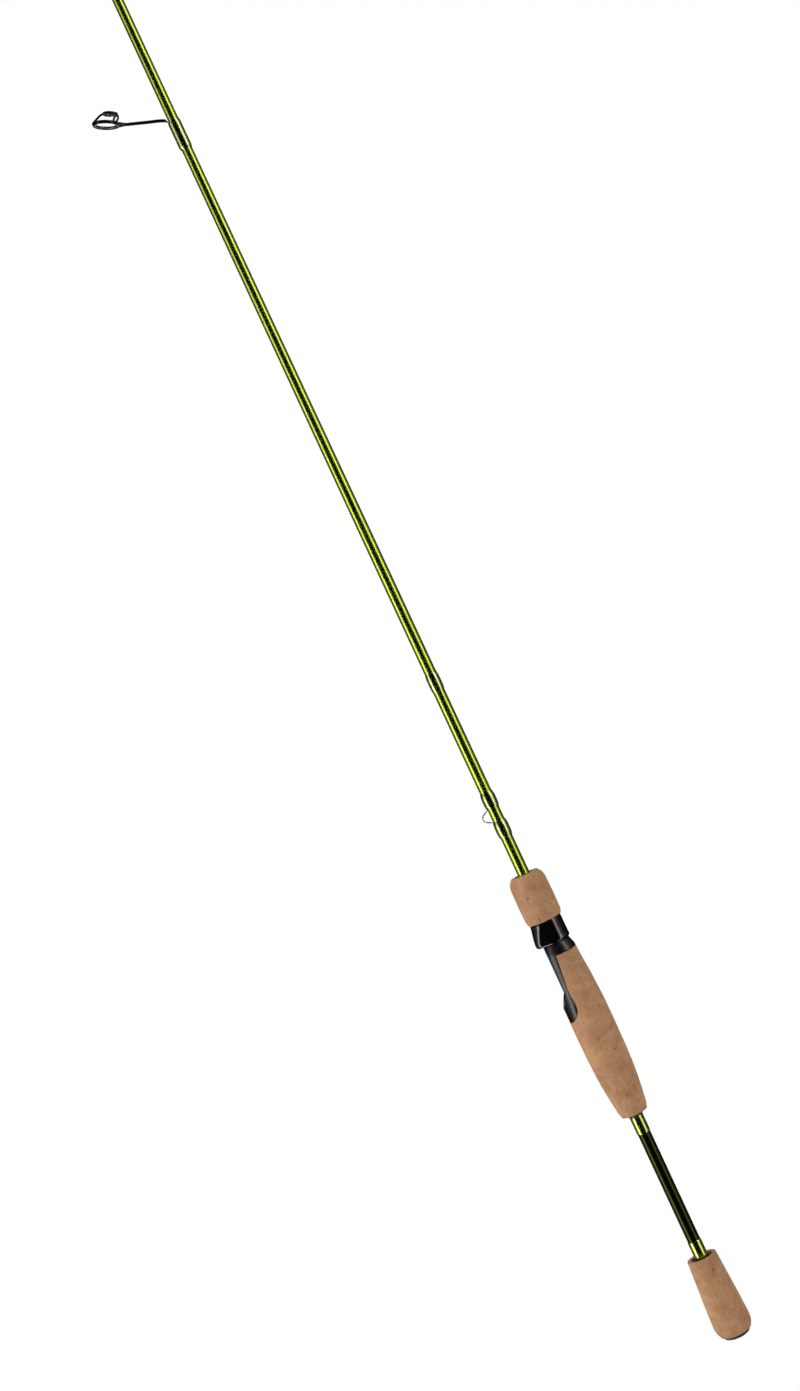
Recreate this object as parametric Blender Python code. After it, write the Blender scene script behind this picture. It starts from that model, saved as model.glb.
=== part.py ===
"""Two-piece spinning rod with a split cork handle and a skeleton reel seat.

Lengths are metres. Z runs along the rod from the butt cap to the tip, and the
guides, the hook keeper and the reel foot's bed all face -X.
"""
import math

import bmesh
import bpy
from mathutils import Matrix, Vector

# The whole rod
ROD_LENGTH = 1.981
GAP = 0.0003
THIN_GAP = 0.00015
WELD = 0.000005
SIDES = 24
BLANK_SIDES = 20

# Butt section of the blank: (height, outer radius), then its bore
BUTT_BLANK = [(0.0045, 0.0043), (0.282, 0.0043), (0.335, 0.00403), (0.567, 0.00395), (0.697, 0.00372),
              (0.827, 0.00357), (0.950, 0.00349), (1.022, 0.00342)]
BUTT_WALL = 0.0009

# Tip section: it slides over the top of the butt section
FERRULE_FOOT = 0.962
FERRULE_DEPTH = 0.0623
TIP_BLANK = [(FERRULE_FOOT, 0.00445), (1.030, 0.00425), (1.180, 0.0034), (1.400, 0.0025), (1.650, 0.00172),
             (1.850, 0.00116), (1.9765, 0.00088)]
TIP_BORE_END = 1.45

# Butt grip
BUTT_GRIP = [(0.0030, 0.0104), (0.0060, 0.0122), (0.0100, 0.0127), (0.0250, 0.0120), (0.0420, 0.0109),
             (0.0562, 0.0100)]
BUTT_GRIP_RINGS = 4
BUTT_CAP_RADIUS = 0.0092
BUTT_CAP_THICKNESS = 0.0027
BUTT_CAP_FLAT = 0.0058
BUTT_CHECK_RADIUS = 0.0070
BUTT_RECESS = 0.0036
BUTT_CHECK_DROP = 0.0007

# Trim on the bare blank between the two grips
LOWER_BAND = (0.0558, 0.0679)
UPPER_BAND = (0.1453, 0.1572)
BAND_RADIUS = 0.0047
REAR_CHECK = (0.1575, 0.1592)
REAR_CHECK_RADIUS = 0.0051

# Rear grip
REAR_GRIP = [(0.1595, 0.0088), (0.1629, 0.0099), (0.1740, 0.0114), (0.1820, 0.0123), (0.1900, 0.0129),
             (0.2020, 0.0134), (0.2190, 0.0136), (0.2370, 0.0136), (0.2480, 0.0130), (0.2560, 0.0127),
             (0.2640, 0.0119), (0.2746, 0.0113)]
REAR_GRIP_RINGS = 9
CORK_BORE = 0.0046

# Reel seat
SEAT_BOTTOM = 0.2233
SEAT_TOP = 0.3230
SEAT_BORE = 0.0062
BARREL_RADIUS = 0.0080
SEAT_RADIUS = 0.0114
SADDLE = [(0.2450, 0.0131), (0.2480, 0.01295), (0.2560, 0.0126), (0.2640, 0.01185), (0.2753, 0.0112)]
BED_X = -0.0088
POCKET_X = -0.0086
BED_BOTTOM = 0.2480
NECK = (0.2749, 0.2821)
NECK_TOP_RADIUS = 0.0096
FIXED_HOOD_BOTTOM = 0.2300
CORK_EDGE = [(-0.0300, 0.2300), (-0.0124, 0.2303), (-0.0095, 0.2324), (-0.0074, 0.2347), (-0.0062, 0.2372),
             (-0.0057, 0.2415), (-0.0063, 0.2500), (-0.0046, 0.2675), (-0.0040, 0.2749)]
FIXED_HOOD_RADIUS = 0.0135
HOOD_POCKET_RADIUS = 0.0117
FIXED_POCKET_BOTTOM = 0.2352
HOOD_MOUTH_SLOPE = math.radians(-60.0)
KEY_WIDTH = 0.0018
KEY_DEPTH = 0.0007

# Sliding hood, lock nut and fore grip
HOOD = (0.2824, 0.2976)
HOOD_RADIUS = 0.0110
HOOD_FLARE_RADIUS = 0.0131
HOOD_POCKET_TOP = 0.2910
NUT = (0.2982, 0.3256)
NUT_RADIUS = 0.0100
NUT_THREAD_TOP = 0.3130
NUT_WEB = 0.0014
NUT_COLLAR_TOP = 0.3296
NUT_COLLAR_RADIUS = 0.0060
NUT_COLLAR_BORE = 0.0046
FORE_GRIP = [(0.2979, 0.0112), (0.3000, 0.0123), (0.3120, 0.0125), (0.3240, 0.0123), (0.3280, 0.0113),
             (0.3302, 0.0090)]
FORE_GRIP_RINGS = 3

# Hook keeper and trim windings
KEEPER_REAR_WINDING = (0.3570, 0.3690)
KEEPER_FRONT_WINDING = (0.3775, 0.3890)
KEEPER_REACH = 0.0088
KEEPER_WIRE = 0.00043
TRIM_WINDING = (0.4615, 0.4740)

# Guides: foot height, distance of the ring's centre from the rod's axis, ring radius
STRIPPER = (0.8715, 0.0411, 0.00865)
STRIPPER_LEAN = math.radians(23.5)
STRIPPER_WINDING = (0.8500, 0.8708)
CHOKE_RADIUS = 0.0043
CHOKE_RISE = 0.0071
CHOKE_SHIFT = -0.0023
RUNNING_GUIDES = [(1.116, 0.0220, 0.0060), (1.321, 0.0155, 0.0046), (1.491, 0.0118, 0.0038),
                  (1.636, 0.0096, 0.0033), (1.766, 0.0084, 0.0030), (1.881, 0.0075, 0.0028)]
RUNNING_LEAN = math.radians(14.0)
TIP_TOP_TUBE = (1.9620, 1.9790)
TIP_TOP_WINDING = (1.9560, 1.9615)
FERRULE_WINDING = (0.9624, 0.9780)

MATERIALS = {
    "chartreuse_blank": ((0.42, 0.55, 0.03, 1.0), 0.18, 0.75),
    "chartreuse_trim": ((0.48, 0.62, 0.05, 1.0), 0.25, 0.70),
    "olive_winding": ((0.22, 0.28, 0.05, 1.0), 0.30, 0.20),
    "dark_winding": ((0.02, 0.02, 0.02, 1.0), 0.30, 0.00),
    "cork": ((0.38, 0.22, 0.12, 1.0), 0.85, 0.00),
    "seat_black": ((0.012, 0.012, 0.013, 1.0), 0.35, 0.00),
    "hood_black": ((0.008, 0.008, 0.009, 1.0), 0.15, 0.00),
    "rubber_black": ((0.015, 0.015, 0.015, 1.0), 0.60, 0.00),
    "arbor_foam": ((0.10, 0.10, 0.10, 1.0), 0.90, 0.00),
    "nut_black": ((0.02, 0.02, 0.02, 1.0), 0.45, 0.00),
    "steel_wire": ((0.45, 0.46, 0.48, 1.0), 0.25, 1.00),
    "frame_black": ((0.02, 0.02, 0.022, 1.0), 0.30, 0.90),
    "ring_ceramic": ((0.05, 0.05, 0.055, 1.0), 0.12, 0.00),
}


def material(name):
    """The named Principled material, made on first use."""
    found = bpy.data.materials.get(name)
    if found:
        return found
    colour, roughness, metallic = MATERIALS[name]
    made = bpy.data.materials.new(name)
    made.use_nodes = True
    shader = made.node_tree.nodes["Principled BSDF"]
    shader.inputs["Base Color"].default_value = colour
    shader.inputs["Roughness"].default_value = roughness
    shader.inputs["Metallic"].default_value = metallic
    made.diffuse_color = colour
    return made


def finish(name, bm, look):
    """Turn a bmesh into a named, smooth-shaded object with its own material."""
    bmesh.ops.remove_doubles(bm, verts=bm.verts, dist=1e-7)
    bmesh.ops.recalc_face_normals(bm, faces=bm.faces)
    mesh = bpy.data.meshes.new(name)
    bm.to_mesh(mesh)
    bm.free()
    mesh.materials.append(material(look))
    mesh.shade_smooth()
    mesh.set_sharp_from_angle(angle=math.radians(35.0))
    obj = bpy.data.objects.new(name, mesh)
    bpy.context.collection.objects.link(obj)
    return obj


def turned(name, outline, look, sides=SIDES):
    """Spin an outline of (radius, height) points about Z: a loop, or a chain that starts and ends on the axis."""
    bm = bmesh.new()
    verts = [bm.verts.new((radius, 0.0, height)) for radius, height in outline]
    edges = [bm.edges.new(pair) for pair in zip(verts, verts[1:])]
    if outline[0][0] > 0.0:
        edges.append(bm.edges.new((verts[-1], verts[0])))
    bmesh.ops.spin(bm, geom=verts + edges, axis=(0.0, 0.0, 1.0), cent=(0.0, 0.0, 0.0),
                   angle=2.0 * math.pi, steps=sides, use_merge=True)
    return finish(name, bm, look)


def block(name, low, high, look):
    """A box between two corners."""
    bm = bmesh.new()
    bmesh.ops.create_cube(bm, size=1.0)
    for vert in bm.verts:
        vert.co = Vector([low[i] + (vert.co[i] + 0.5) * (high[i] - low[i]) for i in range(3)])
    return finish(name, bm, look)


def prism(name, outline, half, look):
    """A closed outline in the XZ plane, extruded to both sides of the rod."""
    bm = bmesh.new()
    near = [bm.verts.new((x, -half, z)) for x, z in outline]
    far = [bm.verts.new((x, half, z)) for x, z in outline]
    bm.faces.new(near)
    bm.faces.new(list(reversed(far)))
    count = len(outline)
    for i in range(count):
        following = (i + 1) % count
        bm.faces.new((near[following], near[i], far[i], far[following]))
    return finish(name, bm, look)


def combine(target, tool, operation):
    """Join, cut or intersect two closed bodies and keep only the result."""
    change = target.modifiers.new(operation.lower(), "BOOLEAN")
    change.operation = operation
    change.solver = "EXACT"
    change.object = tool
    bpy.context.view_layer.update()
    depsgraph = bpy.context.evaluated_depsgraph_get()
    shape = bpy.data.meshes.new_from_object(target.evaluated_get(depsgraph))
    target.modifiers.clear()
    bm = bmesh.new()
    bm.from_mesh(shape)
    bmesh.ops.remove_doubles(bm, verts=bm.verts, dist=WELD)
    bmesh.ops.dissolve_degenerate(bm, edges=bm.edges, dist=WELD)
    bm.to_mesh(shape)
    bm.free()
    shape.set_sharp_from_angle(angle=math.radians(35.0))
    target.data = shape
    bpy.data.objects.remove(tool)


def place(obj, matrix):
    """Move an object's mesh by a matrix, so the object keeps no transform of its own."""
    obj.data.transform(matrix)
    return obj


def smooth_path(points, steps):
    """Points on a curve that passes through all the given points and turns evenly at each."""
    points = [Vector(p) for p in points]
    last = len(points) - 1
    heading = [(points[min(i + 1, last)] - points[max(i - 1, 0)]).normalized() for i in range(last + 1)]
    path = []
    for i in range(last):
        span = (points[i + 1] - points[i]).length
        for k in range(steps):
            t = k / steps
            leave = (t ** 3 - 2 * t ** 2 + t) * span * heading[i]
            arrive = (t ** 3 - t ** 2) * span * heading[i + 1]
            ahead = 3 * t ** 2 - 2 * t ** 3
            path.append((1.0 - ahead) * points[i] + ahead * points[i + 1] + leave + arrive)
    path.append(points[last])
    return path


def wire(name, path, width, depth, look, sides=8):
    """Sweep an oval along a path: width gives its half-size across the path at a point, depth the other one."""
    bm = bmesh.new()
    rings = []
    for i, point in enumerate(path):
        ahead = (path[min(i + 1, len(path) - 1)] - path[max(i - 1, 0)]).normalized()
        across = Vector((0.0, 1.0, 0.0))
        across = (across - ahead * across.dot(ahead)).normalized()
        up = ahead.cross(across)
        half_width = width(point)
        half_depth = depth(point)
        ring = []
        for k in range(sides):
            turn = 2.0 * math.pi * (k + 0.5) / sides
            ring.append(bm.verts.new(point + across * half_width * math.cos(turn) + up * half_depth * math.sin(turn)))
        rings.append(ring)
    for low, high in zip(rings, rings[1:]):
        for k in range(sides):
            bm.faces.new((low[k], low[(k + 1) % sides], high[(k + 1) % sides], high[k]))
    bm.faces.new(rings[0])
    bm.faces.new(rings[-1])
    return finish(name, bm, look)


def constant(value):
    """A size that stays the same along a wire."""
    return lambda point: value


def growing(foot_x, at_foot, outside):
    """A size that grows from a foot flat on the blank to its full value a little way out."""
    return lambda point: at_foot + (outside - at_foot) * min(1.0, max(0.0, (foot_x - point.x) / 0.0014))


def radius_at(stations, height):
    """Straight-line radius between (height, radius) stations."""
    for (low, low_radius), (high, high_radius) in zip(stations, stations[1:]):
        if height <= high:
            share = max(0.0, (height - low) / (high - low))
            return low_radius + share * (high_radius - low_radius)
    return stations[-1][1]


def tube_outline(stations, bore):
    """Closed outline of a tube whose outside follows the stations and whose bore is a chain of (radius, height)."""
    return [(radius, height) for height, radius in stations] + bore[::-1]


def cork_rings(prefix, stations, count, bore_of):
    """Glued cork rings of equal length whose outsides follow one long profile."""
    bottom = stations[0][0]
    length = (stations[-1][0] - bottom) / count
    rings = []
    for i in range(count):
        low = bottom + i * length + (GAP / 2 if i else 0.0)
        high = bottom + (i + 1) * length - (GAP / 2 if i < count - 1 else 0.0)
        inner = [height for height, _ in stations if low + 0.001 < height < high - 0.001]
        outside = [(height, radius_at(stations, height)) for height in [low] + inner + [high]]
        rings.append(turned(f"{prefix}_{i + 1}", tube_outline(outside, bore_of(low, high)), "cork"))
    return rings


def sleeve(name, span, bore, radius, look, soft=0.0, sides=BLANK_SIDES):
    """A thin sleeve on the blank, with its ends sloped off when soft is given."""
    low, high = span
    edge = bore + 0.0002 if soft else radius
    outside = [(radius, low), (radius, high)]
    if soft:
        outside = [(edge, low), (radius, low + soft), (radius, high - soft), (edge, high)]
    return turned(name, outside + [(bore, high), (bore, low)], look, sides)


def foot_winding(name, span, blank_radius, foot, look, sides=BLANK_SIDES):
    """A winding that covers a guide's foot, with the foot's own room cut out of its inside."""
    low, high = span
    foot_back, foot_half_width = foot
    bore = blank_radius + THIN_GAP
    radius = foot_back + 0.0004
    body = turned(name, [(bore, low), (bore + 0.0003, low), (radius, low + 0.0016), (radius, high - 0.0016),
                         (bore + 0.0003, high), (bore, high)], look, sides)
    room = block("room", (-foot_back - THIN_GAP, -foot_half_width - THIN_GAP, low - 0.01),
                 (-0.6 * bore, foot_half_width + THIN_GAP, high + 0.01), look)
    combine(body, room, "DIFFERENCE")
    return body


def build_blanks():
    """Both hollow tapered sections."""
    bottom = BUTT_BLANK[0][0]
    top = BUTT_BLANK[-1][0]
    bore = [(0.0034, bottom), (BUTT_BLANK[-1][1] - BUTT_WALL, top)]
    turned("butt_blank", tube_outline(BUTT_BLANK, bore), "chartreuse_blank", BLANK_SIDES)
    mouth = radius_at(BUTT_BLANK, FERRULE_FOOT) + GAP
    shoulder = FERRULE_FOOT + FERRULE_DEPTH
    bore = [(mouth, FERRULE_FOOT), (BUTT_BLANK[-1][1] + GAP, shoulder), (0.0026, shoulder + 0.003),
            (0.0009, TIP_BORE_END), (0.0, TIP_BORE_END)]
    outside = [(radius, height) for height, radius in TIP_BLANK]
    outline = [(0.0, TIP_BORE_END)] + bore[-2::-1] + outside + [(0.0, TIP_BLANK[-1][0])]
    turned("tip_blank", outline, "chartreuse_blank", BLANK_SIDES)
    female = TIP_BLANK[0][1] + THIN_GAP
    sleeve("ferrule_winding", FERRULE_WINDING, female, female + 0.00045, "olive_winding", 0.0012)


def build_butt():
    """Butt cap, butt grip and its check."""
    length = (BUTT_GRIP[-1][0] - BUTT_GRIP[0][0]) / BUTT_GRIP_RINGS
    seat_of_check = BUTT_GRIP[-1][0] - BUTT_RECESS

    def bore_of(low, high):
        if high < BUTT_GRIP[-1][0] - 0.5 * length:
            return [(CORK_BORE, low), (CORK_BORE, high)]
        wide = BUTT_CHECK_RADIUS + GAP
        return [(CORK_BORE, low), (CORK_BORE, seat_of_check), (wide, seat_of_check), (wide, high)]

    cork_rings("butt_grip_cork", BUTT_GRIP, BUTT_GRIP_RINGS, bore_of)
    check = (seat_of_check + GAP, BUTT_GRIP[-1][0] - BUTT_CHECK_DROP)
    sleeve("butt_grip_check", check, BUTT_BLANK[0][1] + THIN_GAP, BUTT_CHECK_RADIUS, "rubber_black")
    stem = 0.0031
    turned("butt_cap", [(0.0, 0.0), (BUTT_CAP_FLAT, 0.0), (0.0080, 0.0006), (BUTT_CAP_RADIUS, 0.0018),
                        (BUTT_CAP_RADIUS, BUTT_CAP_THICKNESS), (stem, BUTT_CAP_THICKNESS), (stem, 0.0120),
                        (stem - 0.0005, 0.0126), (0.0, 0.0126)], "rubber_black")
    sleeve("lower_trim_band", LOWER_BAND, BUTT_BLANK[0][1] + THIN_GAP, BAND_RADIUS, "chartreuse_trim")
    sleeve("upper_trim_band", UPPER_BAND, BUTT_BLANK[0][1] + THIN_GAP, BAND_RADIUS, "chartreuse_trim")
    sleeve("rear_grip_check", REAR_CHECK, BUTT_BLANK[0][1] + THIN_GAP, REAR_CHECK_RADIUS, "rubber_black")


def build_rear_grip():
    """Cork rings of the rear grip: the upper ones wrap the reel seat's back and sides."""
    def bore_of(low, high):
        radius = BARREL_RADIUS + GAP if low > SEAT_BOTTOM - 0.002 else CORK_BORE
        return [(radius, low), (radius, high)]

    for ring in cork_rings("rear_grip_cork", REAR_GRIP, REAR_GRIP_RINGS, bore_of):
        top = max(vert.co.z for vert in ring.data.vertices)
        if top > FIXED_HOOD_BOTTOM:
            edge = [(x + GAP, z - GAP) for x, z in CORK_EDGE]
            cutter = prism("cutter", edge + [(edge[-1][0], 0.30), (-0.0303, 0.30)], 0.03, "cork")
            combine(ring, cutter, "DIFFERENCE")


def build_seat():
    """Reel seat: core tube and barrel, saddle with the flat bed, neck and the fixed hood with its pocket."""
    low = SEAT_BOTTOM
    seat = turned("reel_seat", [(0.0, low), (BARREL_RADIUS, low), (BARREL_RADIUS, NECK[0] - 0.0001),
                                (SEAT_RADIUS, NECK[0]), (NECK_TOP_RADIUS, NECK[1]), (BARREL_RADIUS, NECK[1]),
                                (BARREL_RADIUS, SEAT_TOP - 0.0006), (BARREL_RADIUS - 0.0006, SEAT_TOP),
                                (0.0, SEAT_TOP)], "seat_black")
    saddle = turned("saddle", [(0.0, SADDLE[0][0])] + [(radius, height) for height, radius in SADDLE]
                    + [(0.0, SADDLE[-1][0])], "seat_black")
    skirt = FIXED_HOOD_BOTTOM - 0.0010
    hood = turned("hood", [(0.0, skirt), (FIXED_HOOD_RADIUS, skirt),
                           (FIXED_HOOD_RADIUS, BED_BOTTOM - 0.0050), (FIXED_HOOD_RADIUS - 0.0006, BED_BOTTOM),
                           (0.0, BED_BOTTOM)], "seat_black")
    combine(saddle, hood, "UNION")
    behind = CORK_EDGE + [(CORK_EDGE[-1][0], 0.30), (0.03, 0.30), (0.03, 0.20), (-0.03, 0.20)]
    combine(saddle, prism("back", behind, 0.03, "seat_black"), "DIFFERENCE")
    combine(seat, saddle, "UNION")

    slope = block("slope", (-0.03, -0.03, 0.0), (0.0, 0.03, 0.02), "seat_black")
    turn = Matrix.Rotation(HOOD_MOUTH_SLOPE, 4, "Y")
    place(slope, Matrix.Translation((BED_X + 0.0001, 0.0, BED_BOTTOM + 0.0003)) @ turn)
    pocket = turned("pocket", [(0.0, FIXED_POCKET_BOTTOM), (HOOD_POCKET_RADIUS - 0.0006, FIXED_POCKET_BOTTOM),
                               (HOOD_POCKET_RADIUS, FIXED_POCKET_BOTTOM + 0.002),
                               (HOOD_POCKET_RADIUS, BED_BOTTOM + 0.0011), (0.0, BED_BOTTOM + 0.0011)], "seat_black")
    combine(pocket, block("floor", (POCKET_X, -0.03, 0.20), (0.03, 0.03, 0.30), "seat_black"), "DIFFERENCE")
    bed = block("bed", (-0.03, -0.03, BED_BOTTOM - 0.0001), (BED_X, 0.03, NECK[1] + 0.002), "seat_black")
    for cutter in (pocket, bed, slope):
        combine(seat, cutter, "DIFFERENCE")
    bore = turned("bore", [(0.0, 0.20), (SEAT_BORE, 0.20), (SEAT_BORE, 0.34), (0.0, 0.34)], "seat_black")
    combine(seat, bore, "DIFFERENCE")
    groove = block("groove", (BARREL_RADIUS - KEY_DEPTH - GAP, -KEY_WIDTH / 2 - GAP, NECK[1]),
                   (0.02, KEY_WIDTH / 2 + GAP, 0.34), "seat_black")
    combine(seat, groove, "DIFFERENCE")

    arbors = [("seat_arbor_rear", 0.2260, 0.2480), ("seat_arbor_middle", 0.2540, 0.2760),
              ("seat_arbor_front", 0.2900, 0.3200)]
    for name, bottom, top in arbors:
        sleeve(name, (bottom, top), BUTT_BLANK[0][1] + GAP, SEAT_BORE - GAP, "arbor_foam")


def build_hood_and_fore_grip():
    """Sliding hood with its pocket and key, and the fore grip that turns on the barrel with the lock nut inside."""
    low, high = HOOD
    hood = turned("sliding_hood", [(0.0, low), (HOOD_RADIUS - 0.0003, low), (HOOD_RADIUS, low + 0.001),
                                   (HOOD_RADIUS, high - 0.0008), (HOOD_RADIUS - 0.0006, high), (0.0, high)],
                  "hood_black")
    flare = turned("flare", [(0.0, low), (HOOD_FLARE_RADIUS - 0.0002, low), (HOOD_FLARE_RADIUS, low + 0.002),
                             (HOOD_FLARE_RADIUS - 0.0005, low + 0.0085), (HOOD_RADIUS - 0.0002, high - 0.001),
                             (0.0, high - 0.001)], "hood_black")
    combine(flare, block("back", (-0.0045, -0.03, 0.27), (0.03, 0.03, 0.31), "hood_black"), "DIFFERENCE")
    combine(hood, flare, "UNION")
    bore = BARREL_RADIUS + GAP
    combine(hood, turned("bore", [(0.0, 0.27), (bore, 0.27), (bore, 0.31), (0.0, 0.31)], "hood_black"), "DIFFERENCE")
    pocket = turned("pocket", [(0.0, low - 0.01), (HOOD_POCKET_RADIUS, low - 0.01),
                               (HOOD_POCKET_RADIUS, HOOD_POCKET_TOP - 0.002),
                               (HOOD_POCKET_RADIUS - 0.0006, HOOD_POCKET_TOP), (0.0, HOOD_POCKET_TOP)], "hood_black")
    combine(pocket, block("back", (-0.0072, -0.03, 0.26), (0.03, 0.03, 0.31), "hood_black"), "DIFFERENCE")
    combine(hood, pocket, "DIFFERENCE")
    key = block("key", (BARREL_RADIUS - KEY_DEPTH, -KEY_WIDTH / 2, low + 0.001),
                (BARREL_RADIUS + 0.001, KEY_WIDTH / 2, high - 0.001), "hood_black")
    combine(hood, key, "UNION")

    bore = BARREL_RADIUS + GAP
    wide = BARREL_RADIUS + 0.0009
    web = NUT[1] - NUT_WEB
    turned("lock_nut", [(bore + 0.0006, NUT[0]), (NUT_RADIUS, NUT[0]), (NUT_RADIUS, NUT[1]),
                        (NUT_COLLAR_RADIUS, NUT[1]), (NUT_COLLAR_RADIUS, NUT_COLLAR_TOP),
                        (NUT_COLLAR_BORE, NUT_COLLAR_TOP), (NUT_COLLAR_BORE, web), (wide, web),
                        (wide, NUT_THREAD_TOP), (bore, NUT_THREAD_TOP - 0.0006), (bore, NUT[0] + 0.0006)],
           "nut_black")

    def bore_of(bottom, top):
        over_nut = NUT_RADIUS + GAP
        over_collar = NUT_COLLAR_RADIUS + GAP
        if bottom < NUT[1] < top:
            step = NUT[1] + GAP
            return [(over_nut, bottom), (over_nut, step), (over_collar, step), (over_collar, top)]
        return [(over_nut, bottom), (over_nut, top)]

    cork_rings("fore_grip_cork", FORE_GRIP, FORE_GRIP_RINGS, bore_of)


def build_keeper():
    """Hook keeper: a bent wire with two flattened feet, each under its own winding."""
    blank = radius_at(BUTT_BLANK, 0.36)
    foot_depth = 0.0002
    foot_x = -(blank + THIN_GAP + foot_depth)
    rear_low, rear_high = KEEPER_REAR_WINDING
    front_low, front_high = KEEPER_FRONT_WINDING
    corners = [(foot_x, 0.0, rear_high - 0.0080), (foot_x, 0.0, rear_high - 0.0006), (foot_x, 0.0, rear_high),
               (-KEEPER_REACH + 0.0014, 0.0, rear_high + 0.0016), (-KEEPER_REACH, 0.0, rear_high + 0.0031),
               (-KEEPER_REACH, 0.0, front_low - 0.0031), (-KEEPER_REACH + 0.0014, 0.0, front_low - 0.0016),
               (foot_x, 0.0, front_low), (foot_x, 0.0, front_low + 0.0006), (foot_x, 0.0, front_low + 0.0080)]
    wire("hook_keeper", smooth_path(corners, 3), growing(foot_x, 0.0007, KEEPER_WIRE),
         growing(foot_x, foot_depth, KEEPER_WIRE), "steel_wire")
    foot = (-foot_x + foot_depth, 0.0007)
    foot_winding("keeper_rear_winding", KEEPER_REAR_WINDING, blank, foot, "olive_winding")
    foot_winding("keeper_front_winding", KEEPER_FRONT_WINDING, blank, foot, "olive_winding")
    blank = radius_at(BUTT_BLANK, TRIM_WINDING[0])
    sleeve("trim_winding", TRIM_WINDING, blank + THIN_GAP, 0.0046, "olive_winding", 0.004)


def leaning(centre_x, centre_z, lean):
    """Frame of a guide's ring: its first axis leads away from the rod, its third along the line towards the tip."""
    out = Vector((-math.cos(lean), 0.0, math.sin(lean)))
    side = Vector((0.0, -1.0, 0.0))
    normal = out.cross(side)
    turn = Matrix((out, side, normal)).transposed().to_4x4()
    return Matrix.Translation((-centre_x, 0.0, centre_z)) @ turn


def hoop(name, inner, outer, half, look, sides):
    """A ring with sloped edges, lying flat at the origin."""
    edge = 0.25 * (outer - inner)
    return turned(name, [(inner + edge, -half), (outer - edge, -half), (outer, 0.0), (outer - edge, half),
                         (inner + edge, half), (inner, 0.0)], look, sides)


def rim_inset(name, radius, wall, matrix, sides):
    """Ceramic ring inside a guide's hoop."""
    outer = radius - wall - THIN_GAP
    inner = outer - max(0.0006, 0.13 * radius)
    ring = turned(name, [(inner + 0.0003, -0.0009), (outer, -0.0008), (outer, 0.0008), (inner + 0.0003, 0.0009),
                         (inner, 0.0)], "ring_ceramic", sides)
    return place(ring, matrix)


def build_stripper():
    """Stripper guide: one foot, a forked leg, a large ring and a small ring held ahead of it by three arms."""
    foot_z, reach, radius = STRIPPER
    wall = 0.0008
    base = radius_at(BUTT_BLANK, STRIPPER_WINDING[0])
    foot_depth = 0.00025
    foot_x = base + THIN_GAP + foot_depth
    rise = (reach - foot_x) * math.tan(STRIPPER_LEAN) - 0.0014
    matrix = leaning(reach, foot_z + rise, STRIPPER_LEAN)
    frame = place(hoop("stripper_frame", radius - wall, radius, 0.0007, "frame_black", 24), matrix)

    fork = matrix @ Vector((-radius - 0.0050, 0.0, 0.0))
    start = Vector((-foot_x, 0.0, STRIPPER_WINDING[0] + 0.0016))
    bend = Vector((-foot_x, 0.0, foot_z - 0.0008))
    knee = Vector((-foot_x - 0.0020, 0.0, foot_z + 0.0014))
    middle = (bend + fork) * 0.5 + Vector((0.0, 0.0, 0.0008))
    path = smooth_path([start, bend - Vector((0.0, 0.0, 0.001)), bend, knee, middle, fork], 3)
    leg = wire("leg", path, growing(-foot_x, 0.0011, 0.0009), growing(-foot_x, foot_depth, 0.0007), "frame_black")
    combine(frame, leg, "UNION")
    for side in (-1.0, 1.0):
        spread = math.radians(30.0) * side
        rim = radius - 0.0001
        end = Vector((-rim * math.cos(spread), rim * math.sin(spread), 0.0))
        back = Vector((-radius - 0.0062, 0.0, 0.0))
        way = [matrix @ back, matrix @ Vector((-radius - 0.0030, side * 0.0012, 0.0)), matrix @ end]
        prong = wire("prong", smooth_path(way, 3), constant(0.0006), constant(0.0006), "frame_black", 6)
        combine(frame, prong, "UNION")

    centre = matrix @ Matrix.Translation((CHOKE_SHIFT, 0.0, CHOKE_RISE))
    small = place(hoop("small", CHOKE_RADIUS - 0.0007, CHOKE_RADIUS, 0.0006, "frame_black", 16), centre)
    combine(frame, small, "UNION")
    arms = [[(0.0086, 0.0, 0.0001), (0.0083, 0.0, 0.0014), (0.0070, 0.0, 0.0028), (0.0052, 0.0, 0.0047),
             (0.0034, 0.0, 0.0064), (0.0019, 0.0, 0.0071)]]
    for side in (-1.0, 1.0):
        arms.append([(-0.0058, side * 0.0064, 0.0), (-0.0058, side * 0.0062, 0.0016), (-0.0063, side * 0.0052, 0.0036),
                     (-0.0074, side * 0.0038, 0.0053), (-0.0072, side * 0.0023, 0.0068),
                     (-0.0060, side * 0.0020, 0.0071)])
    for arm in arms:
        way = [matrix @ point for point in smooth_path(arm, 2)]
        combine(frame, wire("arm", way, constant(0.0005), constant(0.0005), "frame_black", 6), "UNION")

    rim_inset("stripper_ring", radius, wall, matrix, 24)
    rim_inset("choke_ring", CHOKE_RADIUS, 0.0007, centre, 16)
    foot_winding("stripper_winding", STRIPPER_WINDING, base, (foot_x + foot_depth, 0.0011), "olive_winding")


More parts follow.
